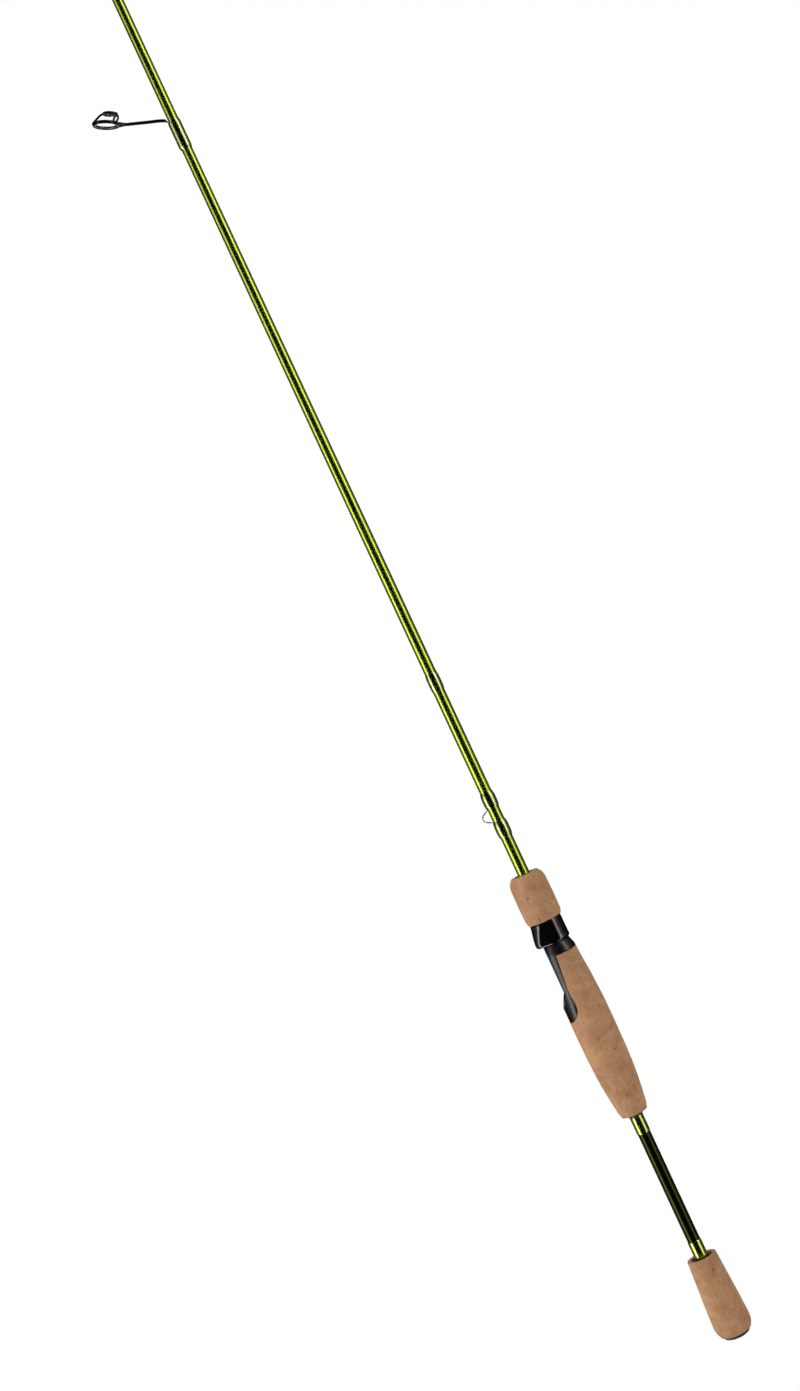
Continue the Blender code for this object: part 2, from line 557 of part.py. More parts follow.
def build_running_guide(index, foot_z, reach, radius):
    """One single-foot guide on the tip section."""
    name = f"guide_{index}"
    wall = 0.0007
    length = 0.008 + 0.3 * reach
    span = (foot_z - length, foot_z - 0.0016)
    base = radius_at(TIP_BLANK, span[0])
    foot_depth = 0.00025
    foot_x = base + THIN_GAP + foot_depth
    foot_half_width = min(0.0009, 0.4 * base)
    rise = (reach - foot_x) * math.tan(RUNNING_LEAN)
    matrix = leaning(reach, foot_z + rise, RUNNING_LEAN)
    frame = place(hoop(f"{name}_frame", radius - wall, radius, 0.0006, "frame_black", 16), matrix)
    start = Vector((-foot_x, 0.0, foot_z - length + 0.0010))
    bend = Vector((-foot_x, 0.0, foot_z - 0.0008))
    end = matrix @ Vector((-radius + 0.0003, 0.0, 0.0))
    knee = Vector((-foot_x - 0.0012, 0.0, foot_z + 0.0006))
    path = smooth_path([start, bend - Vector((0.0, 0.0, 0.001)), bend, knee, end], 2)
    leg = wire("leg", path, constant(foot_half_width), growing(-foot_x, foot_depth, 0.00045), "frame_black", 6)
    combine(frame, leg, "UNION")
    rim_inset(f"{name}_ring", radius, wall, matrix, 16)
    foot_winding(f"{name}_winding", span, base, (foot_x + foot_depth, foot_half_width), "olive_winding", 16)


def build_tip_top():
    """Tip top: a cup over the blank's end with the last ring on it."""
    low, high = TIP_TOP_TUBE
    radius = 0.0031
    bore = radius_at(TIP_BLANK, low) + THIN_GAP
    outer = bore + 0.0004
    cup = turned("tip_top_frame", [(0.0, TIP_BLANK[-1][0] + GAP), (bore, TIP_BLANK[-1][0] + GAP), (bore, low),
                                   (outer, low), (outer, high - 0.0004), (outer - 0.0004, high), (0.0, high)],
                 "frame_black", 16)
    matrix = leaning(radius + 0.0010, ROD_LENGTH - 0.0014 - radius * math.sin(RUNNING_LEAN) * 0.9, RUNNING_LEAN)
    combine(cup, place(hoop("hoop", radius - 0.0007, radius, 0.0006, "frame_black", 16), matrix), "UNION")
    rim_inset("tip_top_ring", radius, 0.0007, matrix, 16)
    blank = radius_at(TIP_BLANK, TIP_TOP_WINDING[0])
    sleeve("tip_top_winding", TIP_TOP_WINDING, blank + THIN_GAP, blank + 0.0006, "olive_winding", 0.0006, 16)


for old in list(bpy.data.objects):
    bpy.data.objects.remove(old)
build_blanks()
build_butt()
build_rear_grip()
build_seat()
build_hood_and_fore_grip()
build_keeper()
build_stripper()
for number, (foot_height, ring_reach, ring_radius) in enumerate(RUNNING_GUIDES, 1):
    build_running_guide(number, foot_height, ring_reach, ring_radius)
build_tip_top()
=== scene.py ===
"""Looks of the two-piece spinning rod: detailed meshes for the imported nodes, materials, light and camera.

Lengths are metres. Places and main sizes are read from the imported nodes; the constants are the finer ones.
"""
import math
import random

import bmesh
import bpy
import numpy as np
from mathutils import Matrix, Vector


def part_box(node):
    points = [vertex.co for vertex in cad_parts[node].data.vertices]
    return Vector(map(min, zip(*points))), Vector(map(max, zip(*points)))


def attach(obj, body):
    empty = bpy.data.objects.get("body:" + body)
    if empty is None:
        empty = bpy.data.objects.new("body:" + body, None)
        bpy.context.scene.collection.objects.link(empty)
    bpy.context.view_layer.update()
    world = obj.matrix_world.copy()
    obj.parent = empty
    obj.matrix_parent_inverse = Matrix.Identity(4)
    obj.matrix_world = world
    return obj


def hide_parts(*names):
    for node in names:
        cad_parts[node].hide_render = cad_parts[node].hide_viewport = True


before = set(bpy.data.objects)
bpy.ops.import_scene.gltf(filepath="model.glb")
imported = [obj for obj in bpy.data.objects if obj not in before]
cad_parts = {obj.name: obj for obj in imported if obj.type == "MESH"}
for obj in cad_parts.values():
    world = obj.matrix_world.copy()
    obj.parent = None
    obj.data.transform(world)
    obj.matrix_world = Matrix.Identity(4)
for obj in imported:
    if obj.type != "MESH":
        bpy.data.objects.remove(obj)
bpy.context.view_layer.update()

GAP = 0.0003
THIN_GAP = 0.00015

# Cork: mesh spacing, glue-line rounding and the pits of each ring
CORK_SIDES = 160
CORK_STEP = 0.0005
CORK_EDGE_ROUND = 0.00005
GLUE_REACH = 0.00014
CORK_PITS = 9
CORK_GRAIN = 0.00005
CORK_BORE = 0.0046

# Side view of the line where the cork meets the reel seat, as (x, z)
CORK_EDGE = [(-0.0300, 0.2300), (-0.0124, 0.2303), (-0.0095, 0.2324), (-0.0074, 0.2347), (-0.0062, 0.2372),
             (-0.0057, 0.2415), (-0.0063, 0.2500), (-0.0046, 0.2675), (-0.0040, 0.2749)]

# Reel seat
SEAT_SIDES = 128
SEAT_BORE = 0.0062
BARREL_RADIUS = 0.0080
SEAT_RADIUS = 0.0114
SADDLE = [(0.2450, 0.0131), (0.2480, 0.01295), (0.2560, 0.0126), (0.2640, 0.01185), (0.2753, 0.0112)]
BED_X = -0.0088
POCKET_X = -0.0086
BED_BOTTOM = 0.2480
NECK = (0.2749, 0.2821)
NECK_TOP_RADIUS = 0.0096
FIXED_HOOD_BOTTOM = 0.2300
FIXED_HOOD_RADIUS = 0.0135
HOOD_POCKET_RADIUS = 0.0117
FIXED_POCKET_BOTTOM = 0.2352
HOOD_MOUTH_SLOPE = math.radians(-60.0)
KEY_WIDTH = 0.0018
KEY_DEPTH = 0.0007
THREAD_PITCH = 0.0020
THREAD_DEPTH = 0.0005

# Sliding hood
HOOD_RADIUS = 0.0110
HOOD_FLARE_RADIUS = 0.0131
HOOD_POCKET_DEPTH = 0.0086
HOOD_WALL = 0.0014
HOOD_CORNER_PULL = 0.0046
HOOD_CORNER_SPREAD = 0.0026

# Lock nut
NUT_SHOULDER = 0.3256
NUT_COLLAR = 0.0060
NUT_COLLAR_BORE = 0.0046
NUT_THREAD_TOP = 0.3130
NUT_WEB = 0.0014

# Blanks
BLANK_SIDES = 64
FERRULE_DEPTH = 0.0623

# Windings
WINDING_SIDES = 72
THREAD_WIDTH = 0.00034
THREAD_RELIEF = 0.000003

# Guides
RING_HALF_HEIGHT = 0.0008
STRIPPER_WALL = 0.0008
FRAME_WALL = 0.0007
TIP_TUBE_LENGTH = 0.0170
FOOT_DEPTH = 0.00025
STRIPPER_LEG = 0.0011
WIRE_WELD = 0.00013
KEEPER_WIRE = 0.00043
KEEPER_LEVEL = 0.36

# Studio: a soft box is near edge, far edge and surround, the edges as shares of a half turn from -Y
SOFT_LIGHT = 2.6
LEFT_BOX = (0.338, 0.403, 0.05)
RIGHT_BOX = (0.278, 0.330, 0.022)
BOX_RIM = 0.013
BACK_GLOW = 0.12
BOX_STRENGTH = 6.3

# Picture
CAMERA_PLACE = (-0.0241, -1.43, 0.46945)
CAMERA_ROLL = math.radians(24.92)
CAMERA_LENS = 56.94
CAMERA_SENSOR = 36.0


# ---- materials

def new_material(name, colour, roughness, metallic=0.0, coat=0.0, coat_roughness=0.04):
    """A Principled material with its constants set on the shader."""
    made = bpy.data.materials.new(name)
    made.use_nodes = True
    shader = made.node_tree.nodes["Principled BSDF"]
    shader.inputs["Base Color"].default_value = (*colour, 1.0)
    shader.inputs["Roughness"].default_value = roughness
    shader.inputs["Metallic"].default_value = metallic
    shader.inputs["Coat Weight"].default_value = coat
    shader.inputs["Coat Roughness"].default_value = coat_roughness
    return made, made.node_tree, shader


def coordinates(tree, stretch=(1.0, 1.0, 1.0)):
    """The piece's own rest coordinates in metres, scaled along each axis."""
    source = tree.nodes.new("ShaderNodeTexCoord")
    mapping = tree.nodes.new("ShaderNodeMapping")
    mapping.inputs["Scale"].default_value = stretch
    tree.links.new(source.outputs["Object"], mapping.inputs["Vector"])
    return mapping.outputs["Vector"]


def noise(tree, scale, detail, stretch=(1.0, 1.0, 1.0), distortion=0.0):
    """A noise texture whose features are about 1 / scale metres across."""
    texture = tree.nodes.new("ShaderNodeTexNoise")
    texture.inputs["Scale"].default_value = scale
    texture.inputs["Detail"].default_value = detail
    texture.inputs["Distortion"].default_value = distortion
    tree.links.new(coordinates(tree, stretch), texture.inputs["Vector"])
    return texture.outputs["Fac"]


def cells(tree, scale):
    """Distance to the nearest point of a cell pattern."""
    texture = tree.nodes.new("ShaderNodeTexVoronoi")
    texture.inputs["Scale"].default_value = scale
    tree.links.new(coordinates(tree), texture.inputs["Vector"])
    return texture.outputs["Distance"]


def ramp(tree, source, stops):
    """Colours or greys along a value; a stop is (position, grey or colour)."""
    node = tree.nodes.new("ShaderNodeValToRGB")
    points = node.color_ramp.elements
    while len(points) < len(stops):
        points.new(0.5)
    for point, (position, value) in zip(points, stops):
        point.position = position
        point.color = (*value, 1.0) if isinstance(value, tuple) else (value, value, value, 1.0)
    tree.links.new(source, node.inputs["Fac"])
    return node.outputs["Color"]


def mixed(tree, factor, first, second, mode="MIX"):
    """Two colours mixed; the factor and either colour may be an output or a constant."""
    node = tree.nodes.new("ShaderNodeMix")
    node.data_type = "RGBA"
    node.blend_type = mode
    for socket, value in ((node.inputs[0], factor), (node.inputs[6], first), (node.inputs[7], second)):
        if isinstance(value, bpy.types.NodeSocket):
            tree.links.new(value, socket)
        else:
            socket.default_value = (*value, 1.0) if isinstance(value, tuple) else value
    return node.outputs[2]


def math_node(tree, operation, first, second=None):
    """One arithmetic step on outputs or constants."""
    node = tree.nodes.new("ShaderNodeMath")
    node.operation = operation
    for socket, value in zip(node.inputs, (first, second)):
        if isinstance(value, bpy.types.NodeSocket):
            tree.links.new(value, socket)
        elif value is not None:
            socket.default_value = value
    return node.outputs[0]


def attribute(tree, name):
    """A value stored on the mesh's points."""
    node = tree.nodes.new("ShaderNodeAttribute")
    node.attribute_name = name
    return node.outputs["Fac"]


def relief(tree, shader, height, distance, strength=1.0):
    """Bump on the shader's base layer; the clear coat stays smooth."""
    node = tree.nodes.new("ShaderNodeBump")
    node.inputs["Strength"].default_value = strength
    node.inputs["Distance"].default_value = distance
    tree.links.new(height, node.inputs["Height"])
    tree.links.new(node.outputs["Normal"], shader.inputs["Normal"])


def axis_height(tree):
    """Height along the rod, in metres."""
    split = tree.nodes.new("ShaderNodeSeparateXYZ")
    tree.links.new(coordinates(tree), split.inputs["Vector"])
    return split.outputs["Z"]


def blank_paint():
    """Metallic chartreuse lacquer, dark between the two trim bands of the handle."""
    made, tree, shader = new_material("chartreuse_lacquer", (0.40, 0.52, 0.055), 0.285, 1.0, 0.02)
    dark_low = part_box("lower_trim_band")[1].z
    dark_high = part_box("upper_trim_band")[0].z
    height = axis_height(tree)
    above = math_node(tree, "GREATER_THAN", height, dark_low)
    below = math_node(tree, "LESS_THAN", height, dark_high)
    inside = math_node(tree, "MULTIPLY", above, below)
    base = mixed(tree, inside, (0.41, 0.535, 0.052), (0.030, 0.038, 0.006))
    flakes = ramp(tree, cells(tree, 5200.0), [(0.0, 1.0), (0.55, 0.93), (1.0, 0.80)])
    cloud = ramp(tree, noise(tree, 60.0, 2.0), [(0.30, 0.93), (0.70, 1.0)])
    flaked = mixed(tree, 1.0, base, flakes, "MULTIPLY")
    tree.links.new(mixed(tree, 1.0, flaked, cloud, "MULTIPLY"), shader.inputs["Base Color"])
    relief(tree, shader, noise(tree, 2600.0, 1.0), 0.0000004)
    return made


def thread(name, light, deep, roughness=0.25):
    """Metallic winding thread under clear epoxy: the turns show as fine lines."""
    made, tree, shader = new_material(name, light, roughness, 1.0, 0.02, 0.03)
    along = math_node(tree, "MULTIPLY", axis_height(tree), 2.0 * math.pi / THREAD_WIDTH)
    turns = math_node(tree, "SINE", along)
    lift = math_node(tree, "MULTIPLY_ADD", turns, 0.5)
    lift.node.inputs[2].default_value = 0.5
    streaks = noise(tree, 900.0, 3.0, (1.0, 1.0, 6.0))
    tint = ramp(tree, streaks, [(0.30, deep), (0.62, light)])
    lined = ramp(tree, lift, [(0.0, 0.72), (0.6, 1.0)])
    tree.links.new(mixed(tree, 1.0, tint, lined, "MULTIPLY"), shader.inputs["Base Color"])
    relief(tree, shader, lift, 0.0000015, 0.4)
    return made


def cork():
    """Natural cork: mottled tan, redder patches, fine cells, lenticels and open pits, the pits painted near
    black: partly their own darker cork, partly painted shade in the hollows.
    """
    made, tree, shader = new_material("natural_cork", (0.40, 0.22, 0.13), 0.82)
    shader.inputs["Specular IOR Level"].default_value = 0.25
    patches = ramp(tree, noise(tree, 120.0, 3.0, distortion=0.6),
                   [(0.30, (0.355, 0.180, 0.082)), (0.48, (0.395, 0.212, 0.104)),
                    (0.66, (0.450, 0.250, 0.134))])
    grain = ramp(tree, noise(tree, 1500.0, 4.0), [(0.30, 0.88), (0.62, 1.04)])
    fibres = ramp(tree, noise(tree, 620.0, 3.0, (1.0, 1.0, 0.35)), [(0.34, 0.93), (0.60, 1.03)])
    tone = ramp(tree, attribute(tree, "tone"), [(0.0, (0.93, 0.91, 0.89)), (1.0, (1.06, 1.05, 1.04))])
    base = mixed(tree, 1.0, patches, grain, "MULTIPLY")
    base = mixed(tree, 1.0, base, fibres, "MULTIPLY")
    base = mixed(tree, 1.0, base, tone, "MULTIPLY")
    streaks = noise(tree, 380.0, 2.0, (1.0, 1.0, 0.30), 1.2)
    lenticels = ramp(tree, streaks, [(0.66, 0.0), (0.74, 0.55)])
    specks = ramp(tree, noise(tree, 1150.0, 1.0), [(0.71, 0.0), (0.78, 0.5)])
    base = mixed(tree, lenticels, base, (0.165, 0.078, 0.040))
    base = mixed(tree, specks, base, (0.120, 0.055, 0.028))
    # Pits painted near black: partly the cork's darker pit walls, partly painted shade in the hollows.
    base = mixed(tree, attribute(tree, "pit_tint_and_shade"), base, (0.070, 0.032, 0.017))
    tree.links.new(base, shader.inputs["Base Color"])
    rough = noise(tree, 1900.0, 4.0)
    sunk = math_node(tree, "SUBTRACT", rough, lenticels)
    relief(tree, shader, math_node(tree, "SUBTRACT", sunk, specks), 0.00007, 0.8)
    return made


def moulded_black(name, colour, roughness, grain_scale, grain_depth, coat=0.0):
    """Moulded plastic or rubber with a fine skin and slight wear in its gloss."""
    made, tree, shader = new_material(name, colour, roughness, 0.0, coat)
    skin = noise(tree, grain_scale, 3.0)
    cloud = noise(tree, 140.0, 4.0)
    worn = [(0.35, tuple(0.8 * c for c in colour)), (0.70, tuple(1.3 * c for c in colour))]
    tree.links.new(ramp(tree, cloud, worn), shader.inputs["Base Color"])
    tree.links.new(ramp(tree, cloud, [(0.30, roughness * 0.85), (0.72, min(1.0, roughness * 1.2))]),
                   shader.inputs["Roughness"])
    relief(tree, shader, skin, grain_depth, 0.7)
    return made


def foam():
    """Grey arbor foam with open cells."""
    made, tree, shader = new_material("arbor_foam_grey", (0.16, 0.16, 0.16), 0.95)
    pores = cells(tree, 1500.0)
    tree.links.new(ramp(tree, pores, [(0.1, 0.05), (0.5, 0.17)]), shader.inputs["Base Color"])
    relief(tree, shader, pores, 0.0002)
    return made


def metal(name, colour, roughness, stretch=(1.0, 1.0, 1.0), coat=0.0):
    """Drawn or plated metal with faint drawing lines."""
    made, tree, shader = new_material(name, colour, roughness, 1.0, coat)
    lines = noise(tree, 2400.0, 2.0, stretch)
    drawn = [(0.3, tuple(0.85 * c for c in colour)), (0.7, tuple(1.1 * c for c in colour))]
    tree.links.new(ramp(tree, lines, drawn), shader.inputs["Base Color"])
    tree.links.new(ramp(tree, noise(tree, 350.0, 3.0), [(0.3, roughness * 0.8), (0.7, roughness * 1.25)]),
                   shader.inputs["Roughness"])
    relief(tree, shader, lines, 0.000004)
    return made


def ceramic():
    """Polished dark guide ceramic."""
    made, tree, shader = new_material("dark_ceramic", (0.035, 0.036, 0.040), 0.10, 0.0, 0.5, 0.02)
    speckle = noise(tree, 5200.0, 2.0)
    tree.links.new(ramp(tree, speckle, [(0.35, (0.026, 0.027, 0.031)), (0.70, (0.050, 0.051, 0.056))]),
                   shader.inputs["Base Color"])
    tree.links.new(ramp(tree, speckle, [(0.3, 0.08), (0.7, 0.16)]), shader.inputs["Roughness"])
    return made


LOOKS = {
    "chartreuse_blank": blank_paint(),
    "chartreuse_trim": thread("trim_thread", (0.50, 0.60, 0.13), (0.42, 0.50, 0.10), 0.24),
    "olive_winding": thread("winding_thread", (0.50, 0.58, 0.21), (0.40, 0.47, 0.14)),
    "cork": cork(),
    "seat_black": moulded_black("satin_seat", (0.0045, 0.0036, 0.0050), 0.30, 2800.0, 0.000010),
    "hood_black": moulded_black("gloss_hood", (0.0030, 0.0022, 0.0026), 0.08, 900.0, 0.000001, 0.45),
    "rubber_black": moulded_black("black_rubber", (0.016, 0.015, 0.015), 0.62, 3200.0, 0.00003),
    "arbor_foam": foam(),
    "nut_black": moulded_black("nut_plastic", (0.018, 0.018, 0.019), 0.42, 2600.0, 0.00001),
    "steel_wire": metal("drawn_steel", (0.40, 0.41, 0.43), 0.26, (1.0, 1.0, 0.1)),
    "frame_black": metal("black_plating", (0.012, 0.012, 0.014), 0.22, coat=0.2),
    "ring_ceramic": ceramic(),
}


# ---- mesh tools

def dress(obj, body, look, *nodes):
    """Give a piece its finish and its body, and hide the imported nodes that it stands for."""
    obj.data.materials.clear()
    obj.data.materials.append(LOOKS[look])
    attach(obj, body)
    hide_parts(*nodes)


def from_bmesh(name, bm, sharp=35.0):
    """Close a bmesh up into a smooth-shaded object."""
    bmesh.ops.remove_doubles(bm, verts=bm.verts, dist=0.0000005)
    bmesh.ops.recalc_face_normals(bm, faces=bm.faces)
    mesh = bpy.data.meshes.new(name)
    bm.to_mesh(mesh)
    bm.free()
    mesh.shade_smooth()
    mesh.set_sharp_from_angle(angle=math.radians(sharp))
    obj = bpy.data.objects.new(name, mesh)
    bpy.context.scene.collection.objects.link(obj)
    return obj


def lattice(name, points, closed, sharp=35.0, capped=False):
    """Quads over points [row, column, xyz]: columns wrap round, rows too when closed; caps close the ends."""
    rows, columns = points.shape[:2]
    bm = bmesh.new()
    verts = [[bm.verts.new(point) for point in row] for row in points]
    for i in range(rows if closed else rows - 1):
        low, high = verts[i], verts[(i + 1) % rows]
        for k in range(columns):
            following = (k + 1) % columns
            bm.faces.new((low[k], low[following], high[following], high[k]))
    if capped:
        bm.faces.new(verts[0])
        bm.faces.new(verts[-1])
    return from_bmesh(name, bm, sharp)


def turned(name, outline, sides=96, sharp=35.0):
    """Revolve a (radius, height) outline about the rod's axis. An outline off the axis closes on itself."""
    turn = np.linspace(0.0, 2.0 * math.pi, sides, endpoint=False)
    outline = np.array(outline)
    points = np.zeros((len(outline), sides, 3))
    points[:, :, 0] = outline[:, :1] * np.cos(turn)
    points[:, :, 1] = outline[:, :1] * np.sin(turn)
    points[:, :, 2] = outline[:, 1:]
    return lattice(name, points, outline[:, 0].min() > 0.00001, sharp)


def soften(outline, radius, steps=4):
    """Round the corners of a closed (radius, height) outline."""
    rounded = []
    count = len(outline)
    for i, corner in enumerate(outline):
        here = Vector(corner)
        back = Vector(outline[i - 1]) - here
        ahead = Vector(outline[(i + 1) % count]) - here
        straight = back.angle(-ahead) < math.radians(8.0)
        if here.x < 0.00001 or straight:
            rounded.append(tuple(here))
            continue
        reach = min(radius, 0.45 * back.length, 0.45 * ahead.length)
        start = here + back.normalized() * reach
        end = here + ahead.normalized() * reach
        for k in range(steps + 1):
            t = k / steps
            rounded.append(tuple((1 - t) ** 2 * start + 2 * t * (1 - t) * here + t * t * end))
    return rounded


def box_mesh(name, low, high):
    """A box between two corners."""
    bm = bmesh.new()
    bmesh.ops.create_cube(bm, size=1.0)
    size = Vector(high) - Vector(low)
    middle = (Vector(high) + Vector(low)) / 2
    bmesh.ops.scale(bm, vec=size, verts=bm.verts)
    bmesh.ops.translate(bm, vec=middle, verts=bm.verts)
    return from_bmesh(name, bm)


def prism(name, outline, half):
    """A closed outline in the XZ plane, extruded to both sides of the rod."""
    bm = bmesh.new()
    near = [bm.verts.new((x, -half, z)) for x, z in outline]
    far = [bm.verts.new((x, half, z)) for x, z in outline]
    bm.faces.new(near)
    bm.faces.new(list(reversed(far)))
    count = len(outline)
    for i in range(count):
        following = (i + 1) % count
        bm.faces.new((near[following], near[i], far[i], far[following]))
    return from_bmesh(name, bm)


def applied(obj):
    """Replace an object's mesh by what its modifiers make of it."""
    bpy.context.view_layer.update()
    depsgraph = bpy.context.evaluated_depsgraph_get()
    shape = bpy.data.meshes.new_from_object(obj.evaluated_get(depsgraph))
    obj.modifiers.clear()
    obj.data = shape


def combine(target, tool, operation):
    """Join, cut or intersect two closed bodies and keep only the result."""
    change = target.modifiers.new(operation.lower(), "BOOLEAN")
    change.operation = operation
    change.solver = "EXACT"
    change.object = tool
    applied(target)
    bpy.data.objects.remove(tool)
    bm = bmesh.new()
    bm.from_mesh(target.data)
    bmesh.ops.remove_doubles(bm, verts=bm.verts, dist=0.000002)
    bmesh.ops.dissolve_degenerate(bm, edges=bm.edges, dist=0.000002)
    bm.to_mesh(target.data)
    bm.free()


def eased(obj, width, angle):
    """Round the sharp edges of a part that was cut to shape."""
    bevel = obj.modifiers.new("eased", "BEVEL")
    bevel.width = width
    bevel.segments = 2
    bevel.limit_method = "ANGLE"
    bevel.angle_limit = math.radians(angle)
    applied(obj)
    obj.data.shade_smooth()
    obj.data.set_sharp_from_angle(angle=math.radians(50.0))


def welded(name, parts, voxel):
    """Melt overlapping parts into one skin with soft fillets where they meet."""
    bm = bmesh.new()
    for part in parts:
        bm.from_mesh(part.data)
        bpy.data.objects.remove(part)
    obj = from_bmesh(name, bm)
    melt = obj.modifiers.new("melt", "REMESH")
    melt.mode = "VOXEL"
    melt.voxel_size = voxel
    calm = obj.modifiers.new("calm", "SMOOTH")
    calm.factor = 0.5
    calm.iterations = 2
    applied(obj)
    obj.data.shade_smooth()
    return obj


def smooth_path(points, steps):
    """Points on a curve that passes through all the given points and turns evenly at each."""
    points = [Vector(p) for p in points]
    last = len(points) - 1
    heading = [(points[min(i + 1, last)] - points[max(i - 1, 0)]).normalized() for i in range(last + 1)]
    path = []
    for i in range(last):
        span = (points[i + 1] - points[i]).length
        for k in range(steps):
            t = k / steps
            between = (2 * t ** 3 - 3 * t ** 2 + 1) * points[i] + (3 * t ** 2 - 2 * t ** 3) * points[i + 1]
            leave = (t ** 3 - 2 * t ** 2 + t) * span * heading[i]
            path.append(between + leave + (t ** 3 - t ** 2) * span * heading[i + 1])
    path.append(points[last])
    return path


def sweep(name, path, width, depth, sides=20):
    """A rounded bar along a path: width is its half-size across the path at a point, depth the other one."""
    rings = []
    for i, point in enumerate(path):
        ahead = (path[min(i + 1, len(path) - 1)] - path[max(i - 1, 0)]).normalized()
        across = Vector((0.0, 1.0, 0.0))
        across = (across - ahead * across.dot(ahead)).normalized()
        up = ahead.cross(across)
        ring = []
        for k in range(sides):
            turn = 2.0 * math.pi * (k + 0.5) / sides
            ring.append(point + across * width(point) * math.cos(turn) + up * depth(point) * math.sin(turn))
        rings.append(ring)
    return lattice(name, np.array(rings), False, capped=True)


def constant(value):
    """A size that stays the same along a wire."""
    return lambda point: value


def growing(foot_x, at_foot, outside):
    """A size that grows from a foot flat on the blank to its full value a little way out."""
    return lambda point: at_foot + (outside - at_foot) * min(1.0, max(0.0, (foot_x - point.x) / 0.0014))


# ---- reading the frame

def packed(node, back_only=False):
    """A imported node's points as (distance from the axis, height), or only those on its uncut +X side."""
    points = np.array([vert.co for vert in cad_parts[node].data.vertices])
    if back_only:
        points = points[points[:, 0] > 0.8 * np.hypot(points[:, 0], points[:, 1])]
    return np.column_stack((np.hypot(points[:, 0], points[:, 1]), points[:, 2]))


def stations(*nodes, bores=()):
    """Outer (height, radius) stations of turned nodes, 0.5 mm apart or more, leaving the bores out."""
    points = np.vstack([packed(node, True) for node in nodes])
    found = []
    for height in sorted(set(np.round(points[:, 1], 5))):
        radius = points[np.abs(points[:, 1] - height) < 0.00002, 0].max()
        inside = any(abs(radius - bore) < 0.00005 for bore in bores)
        if not inside and (not found or height - found[-1][0] > 0.0005):
            found.append((height, radius))
    return found


def value_at(levels, height):
    """Value at a height between (height, value) stations, on straight lines."""
    return float(np.interp(height, [level[0] for level in levels], [level[1] for level in levels]))


def rounded_radius_at(levels, height, reach=0.0012):
    """Radius at a height, averaged over a short stretch so that the corners are smooth."""
    samples = [value_at(levels, height + reach * share) for share in (-1.0, -0.6, -0.2, 0.2, 0.6, 1.0)]
    return sum(samples) / len(samples)


def ring_place(node):
    """Where a guide's ring lies: its first axis leads away from the rod, its third towards the tip."""
    points = np.array([vert.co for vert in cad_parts[node].data.vertices])
    centre = points.mean(axis=0)
    _, _, axes = np.linalg.svd(points - centre)
    normal = Vector(axes[2])
    if normal.z < 0.0:
        normal = -normal
    side = Vector((0.0, -1.0, 0.0))
    out = side.cross(normal).normalized()
    turn = Matrix((out, side, normal)).transposed().to_4x4()
    radius = float(np.linalg.norm(points - centre, axis=1).max())
    return Matrix.Translation(Vector(centre)) @ turn, radius


def span_of(node):
    """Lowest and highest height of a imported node."""
    low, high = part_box(node)
    return low.z, high.z


def level_ring(radius, turn, height):
    """Points at one height, at a radius for each turn about the rod's axis."""
    return np.column_stack((radius * np.cos(turn), radius * np.sin(turn), np.full(len(turn), height)))


# ---- blanks and sleeves

def build_blanks():
    """Both hollow sections, with their lacquer running over rounded ends."""
    levels = stations("butt_blank")
    low, high = span_of("butt_blank")
    heights = np.linspace(low, high, 120)
    outside = [(rounded_radius_at(levels, height), height) for height in heights]
    bore = value_at(levels, high) - 0.0009
    outline = soften(outside + [(bore, high), (0.0034, low)], 0.0002)
    butt = turned("butt_blank_lacquered", outline, BLANK_SIDES)
    dress(butt, "butt_section", "chartreuse_blank", "butt_blank")

    levels = stations("tip_blank")
    low, high = span_of("tip_blank")
    shoulder = low + FERRULE_DEPTH
    bore_end = shoulder + 0.0030
    male = value_at(stations("butt_blank"), low)
    heights = np.linspace(low, high, 160)
    outside = [(value_at(levels, height), height) for height in heights]
    outline = [(0.0026, bore_end), (0.0036, shoulder), (male + GAP, low)] + outside
    outline = [(0.0, bore_end)] + soften(outline, 0.0002) + [(0.0, high)]
    tip = turned("tip_blank_lacquered", outline, BLANK_SIDES)
    dress(tip, "tip_section", "chartreuse_blank", "tip_blank")


def sleeve(node, body, look, ease):
    """A plain collar in the place of a packed one, with rounded edges."""
    radii = packed(node)[:, 0]
    bore, rim = radii.min(), radii.max()
    low, high = span_of(node)
    outline = [(bore, low), (rim, low), (rim, high), (bore, high)]
    dress(turned(f"{node}_detail", soften(outline, ease)), body, look, node)


def winding(node, body, blank_levels, slope, foot=None, look="olive_winding"):
    """Thread wound over the blank, and over a guide's foot if there is one, its turns sunk in epoxy."""
    low, high = span_of(node)
    thickest = packed(node)[:, 0].max() - 0.0001
    rows = int((high - low) / THREAD_WIDTH * 4)
    turn = np.linspace(0.0, 2.0 * math.pi, WINDING_SIDES, endpoint=False)
    towards_foot = np.exp(-(np.abs(turn - math.pi) / 0.95) ** 2)
    outer = np.zeros((rows, WINDING_SIDES, 3))
    inner = np.zeros((rows, WINDING_SIDES, 3))
    for i, height in enumerate(np.linspace(low, high, rows)):
        blank = value_at(blank_levels, height)
        rise = min(1.0, (height - low) / slope, (high - height) / slope)
        rise = math.sin(0.5 * math.pi * max(0.0, rise)) ** 0.85
        plain = thickest if foot is None else blank + foot
        ridge = THREAD_RELIEF * abs(math.sin(math.pi * (height - low) / THREAD_WIDTH)) * rise
        around = plain + (thickest - plain) * towards_foot
        radius = blank + 0.00012 + (around - blank - 0.00012) * rise + ridge - THREAD_RELIEF
        outer[i] = level_ring(radius, turn, height)
        inner[i] = level_ring(blank + 0.00004, turn, height)
    made = lattice(f"{node}_thread", np.concatenate((outer, inner[::-1][::8])), True, 60.0)
    dress(made, body, look, node)


# ---- cork

